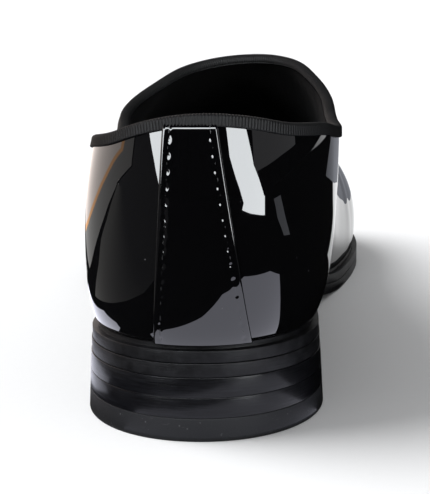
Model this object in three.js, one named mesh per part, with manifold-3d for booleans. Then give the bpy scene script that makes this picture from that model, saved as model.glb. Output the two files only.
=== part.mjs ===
// A left-foot tassel loafer in black patent leather, with a ribbon-bound collar, a plain vamp,
// a tapered strip over the back seam, and a flat sole on a stacked heel.
//
// Millimetres, +Z up. The shoe is laid out with its heel's back at Y = 0, its toe towards +Y, its
// inner (medial) side towards +X and the floor at Z = 0, and is then moved so that the middle of
// its footprint is the origin.
import * as THREE from "three";
import { mergeVertices } from "three/addons/utils/BufferGeometryUtils.js";
import Module from "manifold-3d";

const wasm = await Module();
wasm.setup();

// Sole and heel
const soleLength = 300;
const ballWidth = 104;
const waistWidth = 62;
const heelWidth = 63.3;
const heelLength = 72;
const toeSwing = 8; // how far the toe's tip lies to the inner side of the heel's middle
const toeSpring = 7;
const featherStep = 1.4; // the ledge under the upper's edge, set back from the sole's edge
const featherInset = 1.7;
const midsoleThickness = 3.4;
const outsoleThickness = 3.6;
const upperLiftThickness = 5.4; // at the back; the seat slopes, so this lift is a wedge
const lowerLiftThickness = 5.2;
const topLiftThickness = 6.1;
const seatSlope = 1; // how much lower the seat is at the heel's front
const heelFlare = 1.3; // how far the heel spreads from its seat to the floor
const breastHollow = 3; // how far the heel's front face is hollowed
const edgeBevel = 0.8;

// Upper
const wall = 2;
const backHeight = 60.8; // top of the binding above the seat, at the back seam
const sideHeight = 48.4; // and at its lowest, halfway along the opening
const throatRise = 4.9; // and at the throat, above the back
const collarTilt = 0.05; // rise of the collar for each millimetre towards the inner side
const coneRise = 34; // how far the form that the collar is cut from runs on above it
const instepHeight = 91; // ridge of the upper above the floor, at the throat
const ballHeight = 64; // and over the ball
const toeHeight = 45; // and over the toes
const featherMargin = 2.6; // the upper's feather edge, set in from the sole's edge at the toes
const sideSwell = 10; // how far the inner side swells past that edge, near the waist
const widestHeight = 40; // how high above that edge the inner side is widest, over the heel
const lastingMargin = 9; // the edge of the upper turned in under the insole
const lastingThickness = 1.5;
const insoleThickness = 3;

// Overlays
const overlayThickness = 0.9;
const stripTopWidth = 13.4;
const stripBottomWidth = 25.2;
const stripOffset = 1.6; // how far the strip's foot lies to the inner side
const stripLean = 2.5; // and how far its top leans back to the outer side
const bindingDepth = 3.1;
const bindingThickness = 0.8;

// Tassels
const tasselLength = 32;
const tasselWidth = 13;
const tasselHeight = 8;
const tasselHeadLength = 7;
const tasselLift = 1.1; // clear of the curved vamp under its middle
const fringeStrips = 14;
const fringeThickness = 1.1;
const fringeSplay = 0.04; // how far each strip leans out, in radians
const fringeRagged = 0.025; // how much shorter each strip is than its neighbour
const knotWidth = 18;
const knotLength = 9;
const knotHeight = 4.6;
const thongWidth = 2.6;

const clearance = 0.3; // between pieces that meet

const heelStack = upperLiftThickness + lowerLiftThickness + topLiftThickness;
const soleThickness = outsoleThickness + midsoleThickness + featherStep;
const seatHeight = heelStack + soleThickness;

// The sole's plan, by share of its length: half widths as shares of the width named in each row.
const planRows = [
  { along: 0.0, width: heelWidth, medial: 0.5, lateral: 0.5 },
  { along: 0.125, width: heelWidth, medial: 0.5, lateral: 0.5 },
  { along: 0.2, width: heelWidth, medial: 0.488, lateral: 0.507 },
  { along: 0.27, width: waistWidth, medial: 0.46, lateral: 0.532 },
  { along: 0.35, width: waistWidth, medial: 0.435, lateral: 0.565 },
  { along: 0.43, width: ballWidth, medial: 0.275, lateral: 0.38 },
  { along: 0.5, width: ballWidth, medial: 0.318, lateral: 0.433 },
  { along: 0.57, width: ballWidth, medial: 0.37, lateral: 0.49 },
  { along: 0.64, width: ballWidth, medial: 0.41, lateral: 0.538 },
  { along: 0.7, width: ballWidth, medial: 0.429, lateral: 0.558 },
  { along: 0.8, width: ballWidth, medial: 0.438, lateral: 0.548 },
  { along: 0.9, width: ballWidth, medial: 0.43, lateral: 0.515 },
  { along: 1.0, width: ballWidth, medial: 0.42, lateral: 0.47 },
];
const heelEnd = { at: 0.126, power: 2.05 }; // where the round end starts, and how square it is
const toeEnd = { at: 0.72, power: 2.2 };

// The underside of the outsole, as shares of the heel stack and of the toe spring.
const breast = heelLength / soleLength;
const undersideRows = [
  { along: 0.0, heel: 1, toe: 0 },
  { along: breast, heel: 1 - seatSlope / heelStack, toe: 0 },
  { along: breast + 0.06, heel: 0.88, toe: 0 },
  { along: 0.38, heel: 0.66, toe: 0 },
  { along: 0.46, heel: 0.38, toe: 0 },
  { along: 0.54, heel: 0.13, toe: 0 },
  { along: 0.61, heel: 0, toe: 0 },
  { along: 0.73, heel: 0, toe: 0 },
  { along: 0.8, heel: 0, toe: 0.12 },
  { along: 0.88, heel: 0, toe: 0.42 },
  { along: 1.0, heel: 0, toe: 1 },
];

// How far the upper's feather edge is set in from the sole's edge, as a share of the margin.
const insetRows = [
  { along: 0.0, inset: 0.5 },
  { along: 0.3, inset: 0.58 },
  { along: 0.45, inset: 0.77 },
  { along: 1.0, inset: 1 },
];

// The upper over its feather edge, on each side: how far it swells past that edge and how high
// above the edge it is widest, as shares of the two sizes named for that, and how square its
// section is above its widest line.
const medialRows = [
  { along: 0.0, swell: 0.38, height: 0.45, power: 2.5 },
  { along: 0.1, swell: 0.52, height: 0.65, power: 2.8 },
  { along: 0.2, swell: 0.8, height: 1, power: 3.2 },
  { along: 0.3, swell: 1.02, height: 0.9, power: 3.2 },
  { along: 0.36, swell: 1.14, height: 0.75, power: 2.9 },
  { along: 0.45, swell: 0.84, height: 0.6, power: 2.6 },
  { along: 0.55, swell: 0.34, height: 0.375, power: 2.3 },
  { along: 0.65, swell: 0.12, height: 0.225, power: 2.1 },
  { along: 0.8, swell: 0.12, height: 0.2, power: 2.1 },
  { along: 1.0, swell: 0.14, height: 0.225, power: 2.3 },
];
const lateralRows = [
  { along: 0.0, swell: 0.38, height: 0.45, power: 2.5 },
  { along: 0.1, swell: 0.3, height: 0.45, power: 1.9 },
  { along: 0.2, swell: 0.18, height: 0.42, power: 1.6 },
  { along: 0.3, swell: 0.2, height: 0.5, power: 1.8 },
  { along: 0.36, swell: 0.24, height: 0.55, power: 1.98 },
  { along: 0.45, swell: 0.13, height: 0.45, power: 1.8 },
  { along: 0.55, swell: 0.22, height: 0.35, power: 1.9 },
  { along: 0.65, swell: 0.18, height: 0.275, power: 2 },
  { along: 0.8, swell: 0.16, height: 0.225, power: 2.1 },
  { along: 1.0, swell: 0.14, height: 0.225, power: 2.3 },
];

// The ridge where the two sides meet: its height as a share of the height named in each row, and
// its place to the inner side as a share of half the ball's width. The back of it is the open collar.
const coneHeight = seatHeight + backHeight + coneRise;
const ridgeRows = [
  { along: 0.0, height: coneHeight, share: 1, across: 0 },
  { along: 0.2, height: coneHeight, share: 0.985, across: 0.02 },
  { along: 0.32, height: coneHeight, share: 0.93, across: 0.09 },
  { along: 0.42, height: instepHeight, share: 1.105, across: 0.14 },
  { along: 0.5, height: instepHeight, share: 1, across: 0.15 },
  { along: 0.58, height: instepHeight, share: 0.865, across: 0.145 },
  { along: 0.67, height: ballHeight, share: 1.06, across: 0.13 },
  { along: 0.76, height: ballHeight, share: 0.92, across: 0.12 },
  { along: 0.87, height: toeHeight, share: 1.07, across: 0.13 },
  { along: 1.0, height: toeHeight, share: 0.9, across: 0.14 },
];
const heelFan = { from: 0.26, to: 0.13 }; // the ridge stops short of the heel's back
const toeFan = { from: 0.66, to: 0.87 }; // and of the toe's tip

// The collar seen from the side: its height above the seat as a share of the height in each row.
const throatHeight = backHeight + throatRise;
const collarRows = [
  { along: -0.1, height: backHeight, share: 1.05 },
  { along: -0.02, height: backHeight, share: 1.025 },
  { along: -0.005, height: backHeight, share: 1 },
  { along: 0.012, height: backHeight, share: 0.956 },
  { along: 0.04, height: backHeight, share: 0.9 },
  { along: 0.09, height: sideHeight, share: 1.09 },
  { along: 0.15, height: sideHeight, share: 1.03 },
  { along: 0.22, height: sideHeight, share: 1 },
  { along: 0.29, height: sideHeight, share: 1.015 },
  { along: 0.36, height: sideHeight, share: 1.087 },
  { along: 0.42, height: throatHeight, share: 0.875 },
  { along: 0.465, height: throatHeight, share: 0.94 },
  { along: 0.5, height: throatHeight, share: 0.975 },
  { along: 0.58, height: throatHeight, share: 1.09 },
  { along: 0.7, height: throatHeight, share: 1.3 },
];

// How finely the forms are cut into flat faces.
const heelSteps = 8;
const middleSteps = 14;
const toeSteps = 11;
const swellSteps = 4;
const archSteps = 9;

const clamp01 = (t) => Math.min(1, Math.max(0, t));
const smoothStep = (t) => clamp01(t) ** 2 * (3 - 2 * clamp01(t));

// A smooth curve through one value of each row that never swings past the rows' own values.
function through(rows, value) {
  const x = rows.map((row) => row.along);
  const y = rows.map(value);
  const slope = x.slice(1).map((_, i) => (y[i + 1] - y[i]) / (x[i + 1] - x[i]));
  const tangent = x.map((_, i) => {
    if (i === 0) return slope[0];
    if (i === x.length - 1) return slope[i - 1];
    if (slope[i - 1] * slope[i] <= 0) return 0;
    return (2 * slope[i - 1] * slope[i]) / (slope[i - 1] + slope[i]);
  });
  return (at) => {
    const t = Math.min(x[x.length - 1], Math.max(x[0], at));
    let i = 0;
    while (i < x.length - 2 && t > x[i + 1]) i++;
    const span = x[i + 1] - x[i];
    const s = (t - x[i]) / span;
    return (
      y[i] * (1 + 2 * s) * (1 - s) ** 2 +
      tangent[i] * span * s * (1 - s) ** 2 +
      y[i + 1] * s * s * (3 - 2 * s) +
      tangent[i + 1] * span * s * s * (s - 1)
    );
  };
}

function sideOf(rows) {
  return {
    swell: through(rows, (row) => row.swell * sideSwell),
    height: through(rows, (row) => row.height * widestHeight),
    power: through(rows, (row) => row.power),
  };
}

const medialPlan = through(planRows, (row) => row.medial * row.width);
const lateralPlan = through(planRows, (row) => row.lateral * row.width);
const underside = through(undersideRows, (row) => row.heel * heelStack + row.toe * toeSpring);
const edgeInset = through(insetRows, (row) => row.inset * featherMargin);
const medialSide = sideOf(medialRows);
const lateralSide = sideOf(lateralRows);
const ridgeHeight = through(ridgeRows, (row) => row.height * row.share);
const ridgeAcross = through(ridgeRows, (row) => (row.across * ballWidth) / 2);
const collarHeight = through(collarRows, (row) => seatHeight + row.height * row.share);
const soleTop = (along) => underside(along) + soleThickness;

// Stations along the shoe, closer together round the heel and the toe.
function stations() {
  const shares = [];
  for (let i = 0; i < heelSteps; i++) {
    shares.push(heelEnd.at * (1 - Math.cos(((i / heelSteps) * Math.PI) / 2)));
  }
  for (let i = 0; i < middleSteps; i++) {
    shares.push(heelEnd.at + ((toeEnd.at - heelEnd.at) * i) / middleSteps);
  }
  for (let i = 0; i <= toeSteps; i++) {
    shares.push(toeEnd.at + (1 - toeEnd.at) * Math.sin(((i / toeSteps) * Math.PI) / 2));
  }
  return shares;
}

// How much of the half width is left at a station, which rounds the plan's two ends.
function endRounding(along) {
  if (along < heelEnd.at) {
    const t = 1 - along / heelEnd.at;
    return (1 - t ** heelEnd.power) ** (1 / heelEnd.power);
  }
  if (along > toeEnd.at) {
    const t = Math.min(1, (along - toeEnd.at) / (1 - toeEnd.at));
    return (1 - t ** toeEnd.power) ** (1 / toeEnd.power);
  }
  return 1;
}

const swingStart = 0.55; // where the plan starts to swing to the inner side

// The plan as one closed loop: out along the outer side from the heel to the toe, and back along
// the inner side. A loop's first point is the heel's back and its middle one the toe's tip.
function planLoop(shares) {
  const last = shares.length - 1;
  const outer = shares.map((along) => planPoint(along, -1));
  const inner = shares.slice(1, last).map((along) => planPoint(along, 1));
  return [...outer, ...inner.reverse()];
}

function planPoint(along, side, inset = 0) {
  const half = side > 0 ? medialPlan(along) : lateralPlan(along);
  const swing = toeSwing * smoothStep((along - swingStart) / (1 - swingStart));
  const x = swing + side * (half * endRounding(along) - inset);
  return { along, side, x, y: along * soleLength };
}

// The loop moved inwards, square to itself, by a distance that may change along it.
function insetLoop(loop, distance) {
  const count = loop.length;
  return loop.map((point, i) => {
    const before = loop[(i + count - 1) % count];
    const after = loop[(i + 1) % count];
    const run = Math.hypot(after.x - before.x, after.y - before.y);
    const move = distance(point.along);
    const x = point.x + (move * (after.y - before.y)) / run;
    const y = point.y - (move * (after.x - before.x)) / run;
    return { ...point, x, y };
  });
}

// A closed solid over loops of points, first the lowest, each loop laid out as planLoop's.
function solidOver(loops) {
  const count = loops[0].length;
  const positions = loops.flat().flatMap((p) => [p.x, p.y, p.z]);
  const faces = [];
  for (let level = 0; level < loops.length - 1; level++) {
    for (let i = 0; i < count; i++) {
      const a = level * count + i;
      const b = level * count + ((i + 1) % count);
      faces.push(a, a + count, b, b, a + count, b + count);
    }
  }
  const cap = (start, up) => {
    for (let i = 0; i < count / 2; i++) {
      const a = start + i;
      const b = start + i + 1;
      const c = start + ((count - i) % count);
      const d = start + ((count - i - 1) % count);
      const pair = i === 0 ? [[a, b, d]] : i === count / 2 - 1 ? [[a, b, c]] : [[a, b, c], [b, d, c]];
      for (const [p, q, r] of pair) faces.push(...(up ? [p, r, q] : [p, q, r]));
    }
  };
  cap(0, false);
  cap((loops.length - 1) * count, true);
  return solidFrom(positions, faces);
}

function solidFrom(positions, faces) {
  const mesh = new wasm.Mesh({
    numProp: 3,
    vertProperties: new Float32Array(positions),
    triVerts: new Uint32Array(faces),
  });
  return new wasm.Manifold(mesh);
}

// A three.js geometry as a solid, after a move.
function solidOf(geometry, matrix = new THREE.Matrix4()) {
  const bare = geometry.clone().applyMatrix4(matrix);
  bare.deleteAttribute("normal");
  bare.deleteAttribute("uv");
  const merged = mergeVertices(bare, 1e-4);
  return solidFrom(Array.from(merged.attributes.position.array), Array.from(merged.index.array));
}

// The ridge's share of the length that a station's side leans in to, so that the heel's back and
// the toe's tip each meet the ridge in a fan.
function ridgeStation(along) {
  const fan = (t, kept) => t - (1 - kept) * t * t;
  if (along < heelFan.from) {
    const kept = (heelFan.from - heelFan.to) / heelFan.from;
    return heelFan.from - heelFan.from * fan(1 - along / heelFan.from, kept);
  }
  if (along > toeFan.from) {
    const reach = 1 - toeFan.from;
    const kept = (toeFan.to - toeFan.from) / reach;
    return toeFan.from + reach * fan((along - toeFan.from) / reach, kept);
  }
  return along;
}

// The upper's outer side, as loops from its feather edge up to just beside its ridge.
const tuckAngle = (25 * Math.PI) / 180; // how far round the leather has turned in at the edge
const ridgeGap = (4 * Math.PI) / 180;
function upperLoops(shares) {
  const edge = insetLoop(planLoop(shares), edgeInset);
  const levels = [];
  for (let i = 0; i < swellSteps; i++) {
    const angle = tuckAngle + ((Math.PI / 2 - tuckAngle) * i) / swellSteps;
    levels.push({ swelling: true, angle });
  }
  for (let i = 0; i <= archSteps; i++) {
    levels.push({ swelling: false, angle: ((Math.PI / 2 - ridgeGap) * i) / archSteps });
  }
  return levels.map((level) => edge.map((point) => upperPoint(point, level)));
}

function upperPoint({ along, side, x, y }, level) {
  const ridge = ridgeStation(along);
  const ridgeX = ridgeAcross(ridge);
  const ridgeY = ridge * soleLength;
  const run = Math.hypot(x - ridgeX, y - ridgeY);
  // The two sides' values run into each other round the heel and the toe.
  const medial = (1 + endRounding(along) * side) / 2;
  const blend = (key) => medial * medialSide[key](along) + (1 - medial) * lateralSide[key](along);
  const swell = blend("swell");
  const height = blend("height");
  const power = 2 / blend("power");
  const widest = soleTop(along) + clearance + height;
  let reach;
  let z;
  if (level.swelling) {
    const tuck = Math.sin(tuckAngle);
    reach = run + (swell * (Math.sin(level.angle) - tuck)) / (1 - tuck);
    z = widest - (height * Math.cos(level.angle)) / Math.cos(tuckAngle);
  } else {
    reach = (run + swell) * Math.cos(level.angle) ** power;
    z = widest + (ridgeHeight(ridge) - widest) * Math.sin(level.angle) ** power;
  }
  return {
    along,
    x: ridgeX + ((x - ridgeX) * reach) / run,
    y: ridgeY + ((y - ridgeY) * reach) / run,
    z,
  };
}

// The same loops moved outwards, square to the surface. A negative distance moves them inwards.
function offsetLoops(loops, distance) {
  const count = loops[0].length;
  const at = (level, i) => {
    const p = loops[Math.min(loops.length - 1, Math.max(0, level))][(i + count) % count];
    return new THREE.Vector3(p.x, p.y, p.z);
  };
  return loops.map((loop, level) =>
    loop.map((point, i) => {
      const around = at(level, i + 1).sub(at(level, i - 1));
      const upwards = at(level + 1, i).sub(at(level - 1, i));
      const out = upwards.cross(around).normalize().multiplyScalar(distance);
      return { along: point.along, x: point.x + out.x, y: point.y + out.y, z: point.z + out.z };
    }),
  );
}

const shares = stations();
const soleLoop = planLoop(shares);
const outerLoops = upperLoops(shares);
const formAt = (distance) => solidOver(offsetLoops(outerLoops, distance));

// The space inside the upper, down to the turned-in edge that the insole lies on.
function hollowAt(depth) {
  const loops = offsetLoops(outerLoops, -depth);
  const floor = loops[0].map((p) => ({ ...p, z: soleTop(p.along) + clearance + lastingThickness }));
  return solidOver([floor, ...loops.slice(1)]);
}

// Everything above the collar line, moved up by a distance. The collar is one curve seen from the
// side, tilted so that the outer side is lower.
function aboveCollar(lift) {
  const samples = 44;
  const halfSpan = ballWidth;
  const from = collarRows[0].along;
  const to = collarRows[collarRows.length - 1].along;
  const roof = coneHeight + backHeight;
  const shape = new THREE.Shape();
  shape.moveTo(from * soleLength, roof);
  for (let i = 0; i <= samples; i++) {
    const along = from + ((to - from) * i) / samples;
    shape.lineTo(along * soleLength, collarHeight(along) + lift);
  }
  shape.lineTo(to * soleLength, roof);
  const prism = new THREE.ExtrudeGeometry(shape, { depth: 2 * halfSpan, bevelEnabled: false });
  // The extrusion runs along Z with the side view in XY: turn it to run along X, and shear it.
  const turn = new THREE.Matrix4().set(
    0, 0, 1, -halfSpan,
    1, 0, 0, 0,
    0, 1, collarTilt, -collarTilt * halfSpan,
    0, 0, 0, 1,
  );
  return solidOf(prism, turn);
}

// A plate that follows the sole's bend: its edge is a list of steps from the bottom up, each an
// inset from the plan and a height.
function plate(loop, steps) {
  return solidOver(
    steps.map(({ inset, height }) =>
      insetLoop(loop, inset).map((point) => ({ ...point, z: height(point.along) })),
    ),
  );
}

function makeUpper() {
  const inset = (along) => edgeInset(along) + lastingMargin;
  const opening = plate(soleLoop, [
    { inset, height: (along) => soleTop(along) - lastingThickness },
    { inset, height: (along) => soleTop(along) + 3 * lastingThickness },
  ]);
  const edge = aboveCollar(-bindingThickness - clearance);
  return formAt(0).subtract(hollowAt(wall)).subtract(edge).subtract(opening);
}

// The strip over the back seam: a tapered band of the upper's own surface, one leather higher.
function makeBackStrip() {
  const top = seatHeight + backHeight;
  const bottom = seatHeight + clearance;
  const topMiddle = stripOffset - stripLean;
  const shape = new THREE.Shape();
  shape.moveTo(stripOffset - stripBottomWidth / 2, bottom);
  shape.lineTo(stripOffset + stripBottomWidth / 2, bottom);
  shape.lineTo(topMiddle + stripTopWidth / 2, top);
  shape.lineTo(topMiddle - stripTopWidth / 2, top);
  const depth = heelLength / 2;
  const prism = new THREE.ExtrudeGeometry(shape, { depth, bevelEnabled: false });
  // The extrusion's own Z becomes -Y, so that it runs back from inside the heel.
  const turn = new THREE.Matrix4().makeRotationX(Math.PI / 2).setPosition(0, depth / 2, 0);
  return formAt(clearance + overlayThickness)
    .subtract(formAt(clearance))
    .intersect(solidOf(prism, turn))
    .subtract(aboveCollar(-bindingDepth - clearance));
}

// The ribbon bound over the collar's edge: a channel that straddles the wall.
function makeBinding() {
  const outside = clearance + bindingThickness;
  const ribbon = formAt(outside)
    .subtract(hollowAt(wall + outside))
    .intersect(aboveCollar(-bindingDepth))
    .subtract(aboveCollar(0));
  const edge = formAt(clearance)
    .subtract(hollowAt(wall + clearance))
    .subtract(aboveCollar(-bindingThickness));
  return ribbon.subtract(edge);
}

function makeInsole() {
  const inset = (along) => edgeInset(along) + wall + 2 * clearance;
  const low = (along) => soleTop(along) + lastingThickness + 2 * clearance;
  return plate(soleLoop, [
    { inset, height: low },
    { inset, height: (along) => low(along) + insoleThickness },
  ]);
}

// The heel spreads towards the floor, so its flare at a height is a negative inset.
const flareAt = (height) => -heelFlare * (1 - height / seatHeight);
const heelOnly = (along) => 1 - smoothStep((along - breast) / 0.1);

function makeMidsole() {
  const low = (along) => underside(along) + outsoleThickness + clearance;
  const ledge = (along) => soleTop(along) - featherStep;
  const side = (along) => flareAt(seatHeight) * heelOnly(along);
  const setBack = (along) => side(along) + featherInset;
  return plate(soleLoop, [
    { inset: side, height: low },
    { inset: side, height: (along) => ledge(along) - edgeBevel / 2 },
    { inset: (along) => side(along) + edgeBevel / 2, height: ledge },
    { inset: setBack, height: (along) => ledge(along) + featherStep / 8 },
    { inset: setBack, height: soleTop },
  ]);
}

function makeOutsole() {
  const side = (along) => flareAt(heelStack + outsoleThickness) * heelOnly(along);
  const inwards = (along) => side(along) + edgeBevel * (1 - heelOnly(along));
  return plate(soleLoop, [
    { inset: inwards, height: underside },
    { inset: side, height: (along) => underside(along) + edgeBevel },
    { inset: side, height: (along) => underside(along) + outsoleThickness },
  ]);
}

// One lift of the heel between two heights, with a hollowed front.
function makeLift(low, high, floorBevel = 0) {
  const middle = floorBevel > 0 ? [{ height: low + floorBevel, bevel: 0 }] : [];
  const levels = [{ height: low, bevel: floorBevel }, ...middle];
  const steps = levels.map(({ height, bevel }) => ({
    inset: () => flareAt(height) + bevel,
    height: () => height,
  }));
  steps.push({
    inset: () => flareAt(typeof high === "number" ? high : heelStack),
    height: typeof high === "number" ? () => high : high,
  });
  const front = new THREE.Shape();
  const farCorner = soleLength + ballWidth;
  front.moveTo(-heelWidth, heelLength);
  front.quadraticCurveTo(0, heelLength - 2 * breastHollow, heelWidth, heelLength);
  front.lineTo(ballWidth + heelWidth, heelLength);
  front.lineTo(ballWidth + heelWidth, farCorner);
  front.lineTo(-ballWidth - heelWidth, farCorner);
  front.lineTo(-ballWidth - heelWidth, heelLength);
  const beyond = new THREE.ExtrudeGeometry(front, {
    depth: 2 * heelStack,
    bevelEnabled: false,
    curveSegments: 10,
  });
  const cut = solidOf(beyond, new THREE.Matrix4().makeTranslation(0, 0, -heelStack / 2));
  return plate(soleLoop, steps).subtract(cut);
}

// A tassel's frame starts at its head, half its length behind the spot that its middle lies on.
function tasselFrame(spot) {
  return vampFrame(spot, tasselHeight / 2 + tasselLift, tasselLength / 2);
}

// The vamp's outer side at a share of the length, and round from the ridge to one side.
function vampPoint(along, turn) {
  const side = Math.sign(turn) || 1;
  const level = { swelling: false, angle: Math.PI / 2 - Math.abs(turn) };
  const { x, y, z } = upperPoint(planPoint(along, side, edgeInset(along)), level);
  return new THREE.Vector3(x, y, z);
}

// A frame that lies on the vamp, with its origin a reach behind the spot: X across, Y along a
// heading from the shoe's own, Z outwards.
function vampFrame({ along, turn, heading }, lift, reach = 0) {
  const step = 0.01;
  const forward = vampPoint(along + step, turn).sub(vampPoint(along - step, turn));
  const across = vampPoint(along, turn + step).sub(vampPoint(along, turn - step));
  const out = across.cross(forward).normalize();
  const pointing = new THREE.Vector3(Math.sin(heading), Math.cos(heading), 0);
  pointing.addScaledVector(out, -pointing.dot(out)).normalize();
  const right = new THREE.Vector3().crossVectors(pointing, out);
  const place = vampPoint(along, turn).addScaledVector(out, lift).addScaledVector(pointing, -reach);
  return new THREE.Matrix4().makeBasis(right, pointing, out).setPosition(place);
}

// Where the knot and the tassels lie on the vamp, and which way they point.
const knotSpot = { along: 0.553, turn: 0, heading: 0 };
const tasselSpots = {
  tassel_lateral: { along: 0.636, turn: -0.3, heading: -0.28 },
  tassel_medial: { along: 0.636, turn: 0.3, heading: 0.28 },
};

// A tassel lies along Y: a wound head, and a core hidden by strips of leather that splay from it.
function makeTassel(spot) {
  const flatness = tasselWidth / tasselHeight;
  const radius = tasselHeight / 2 - fringeThickness;
  const skirt = tasselLength - tasselHeadLength;
  const profile = [
    [0, 0],
    [radius * 0.75, 0],
    [radius, tasselHeadLength * 0.15],
    [radius * 0.9, tasselHeadLength * 0.35],
    [radius, tasselHeadLength * 0.55],
    [radius * 0.9, tasselHeadLength * 0.75],
    [radius * 0.9, tasselHeadLength * 1.2],
    [radius * 1.1, tasselHeadLength + skirt * 0.9],
    [0, tasselHeadLength + skirt * 0.9],
  ];
  const points = profile.map(([across, along]) => new THREE.Vector2(across, along));
  const flatten = new THREE.Matrix4().makeScale(flatness, 1, 1);
  let tassel = solidOf(new THREE.LatheGeometry(points, 14), flatten);
  const stripWidth = (Math.PI * (tasselWidth + tasselHeight)) / 2 / fringeStrips - clearance;
  for (let i = 0; i < fringeStrips; i++) {
    const turn = ((i + 0.5) / fringeStrips) * 2 * Math.PI;
    const length = skirt * (1 - fringeRagged * ((i * 5) % 4));
    const strip = new THREE.BoxGeometry(stripWidth, length, fringeThickness);
    strip.translate(0, length / 2, 0);
    const splay = new THREE.Matrix4().makeRotationX(fringeSplay);
    const facing = new THREE.Matrix4().makeRotationY(
      Math.atan2(Math.sin(turn) / flatness, Math.cos(turn)),
    );
    const root = new THREE.Matrix4().makeTranslation(
      Math.sin(turn) * radius * flatness,
      tasselHeadLength * 0.8,
      Math.cos(turn) * radius,
    );
    tassel = tassel.add(solidOf(strip, root.multiply(facing).multiply(splay)));
  }
  return tassel.transform(tasselFrame(spot).elements);
}

// The knot over the throat: a wrap round two flat loops, with a thong to each tassel's head.
function makeKnot() {
  const frame = vampFrame(knotSpot, knotHeight / 2 + clearance);
  const wrapSize = new THREE.Matrix4().makeScale(knotWidth * 0.17, knotLength / 2, knotHeight / 2);
  let knot = solidOf(new THREE.SphereGeometry(1, 14, 8), frame.clone().multiply(wrapSize));
  for (const side of [-1, 1]) {
    const ring = new THREE.TorusGeometry(knotWidth * 0.2, thongWidth / 2, 6, 14);
    const lie = new THREE.Matrix4().makeTranslation(side * knotWidth * 0.26, 0, 0);
    knot = knot.add(solidOf(ring, frame.clone().multiply(lie)));
  }
  const root = new THREE.Vector3().setFromMatrixPosition(frame);
  for (const spot of Object.values(tasselSpots)) {
    const head = tasselFrame(spot);
    const end = new THREE.Vector3(0, -clearance, 0).applyMatrix4(head);
    const before = new THREE.Vector3(0, -tasselHeadLength / 2, 0).applyMatrix4(head);
    const route = new THREE.CatmullRomCurve3([root, before, end]);
    const section = new THREE.Shape();
    section.absarc(0, 0, thongWidth / 2, 0, 2 * Math.PI);
    const thong = new THREE.ExtrudeGeometry(section, {
      extrudePath: route,
      steps: 6,
      curveSegments: 4,
      bevelEnabled: false,
    });
    knot = knot.add(solidOf(thong));
  }
  return knot;
}

// The pieces, from the floor up.
const polish = { color: 0x050506, roughness: 0.06, metalness: 0 };
const soleEdge = { color: 0x1b1c1f, roughness: 0.45, metalness: 0 };
const heelFinish = { color: 0x121316, roughness: 0.3, metalness: 0 };
const heelRubber = { color: 0x232428, roughness: 0.7, metalness: 0 };
const grosgrain = { color: 0x17171a, roughness: 0.85, metalness: 0 };
const lining = { color: 0x0a0a0b, roughness: 0.6, metalness: 0 };

const liftTwo = topLiftThickness + lowerLiftThickness;
const pieces = [
  ["top_lift", makeLift(0, topLiftThickness, edgeBevel / 2), heelRubber],
  ["lower_lift", makeLift(topLiftThickness + clearance / 2, liftTwo), heelFinish],
  ["upper_lift", makeLift(liftTwo + clearance / 2, (along) => underside(along) - clearance / 2), heelFinish],
  ["outsole", makeOutsole(), soleEdge],
  ["midsole", makeMidsole(), soleEdge],
  ["upper", makeUpper(), polish],
  ["insole", makeInsole(), lining],
  ["back_strip", makeBackStrip(), polish],
  ["collar_binding", makeBinding(), grosgrain],
  ["tassel_knot", makeKnot(), polish],
];
for (const [name, spot] of Object.entries(tasselSpots)) pieces.push([name, makeTassel(spot), polish]);

// A solid as a named mesh with flat faces.
function meshOf(name, solid, finish) {
  const { numProp, vertProperties, triVerts } = solid.getMesh();
  const positions = new Float32Array((vertProperties.length / numProp) * 3);
  for (let i = 0; i * numProp < vertProperties.length; i++) {
    positions.set(vertProperties.subarray(i * numProp, i * numProp + 3), i * 3);
  }
  const geometry = new THREE.BufferGeometry();
  geometry.setAttribute("position", new THREE.BufferAttribute(positions, 3));
  geometry.setIndex(new THREE.BufferAttribute(triVerts, 1));
  const material = new THREE.MeshStandardMaterial({ ...finish, flatShading: true });
  const mesh = new THREE.Mesh(geometry, material);
  mesh.name = name;
  return mesh;
}

const shoe = new THREE.Group();
for (const [name, solid, finish] of pieces) shoe.add(meshOf(name, solid, finish));

// The origin is the middle of the footprint's box, on the floor.
const box = new THREE.Box3().setFromObject(shoe);
const middle = box.getCenter(new THREE.Vector3());
shoe.position.set(-middle.x, -middle.y, 0);

export default shoe;
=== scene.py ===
import math
import random

import bmesh
import bpy
import numpy as np
from mathutils import Euler, Matrix, Vector
from mathutils.bvhtree import BVHTree


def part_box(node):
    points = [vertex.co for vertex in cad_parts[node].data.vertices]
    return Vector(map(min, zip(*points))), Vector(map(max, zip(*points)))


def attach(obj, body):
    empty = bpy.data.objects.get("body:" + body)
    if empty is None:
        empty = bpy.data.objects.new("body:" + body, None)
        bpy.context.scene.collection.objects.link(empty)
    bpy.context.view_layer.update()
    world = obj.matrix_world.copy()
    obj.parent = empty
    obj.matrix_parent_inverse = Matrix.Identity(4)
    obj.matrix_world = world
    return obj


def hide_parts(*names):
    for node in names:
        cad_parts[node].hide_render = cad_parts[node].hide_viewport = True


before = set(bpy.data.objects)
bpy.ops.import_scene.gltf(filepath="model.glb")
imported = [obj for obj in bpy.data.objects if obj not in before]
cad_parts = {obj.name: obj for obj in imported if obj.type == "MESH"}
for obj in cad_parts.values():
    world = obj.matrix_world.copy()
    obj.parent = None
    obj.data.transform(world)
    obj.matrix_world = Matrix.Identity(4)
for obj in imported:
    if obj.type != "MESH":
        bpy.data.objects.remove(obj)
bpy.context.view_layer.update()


# How meshes and materials are written down below
# A mesh is a table of points in millimetres on the shoe's own axes, which start at the heel's back
# on the floor: X to the inner side, Y to the toe, Z up. A material's sums are written as sums.
MM = 0.001


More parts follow.
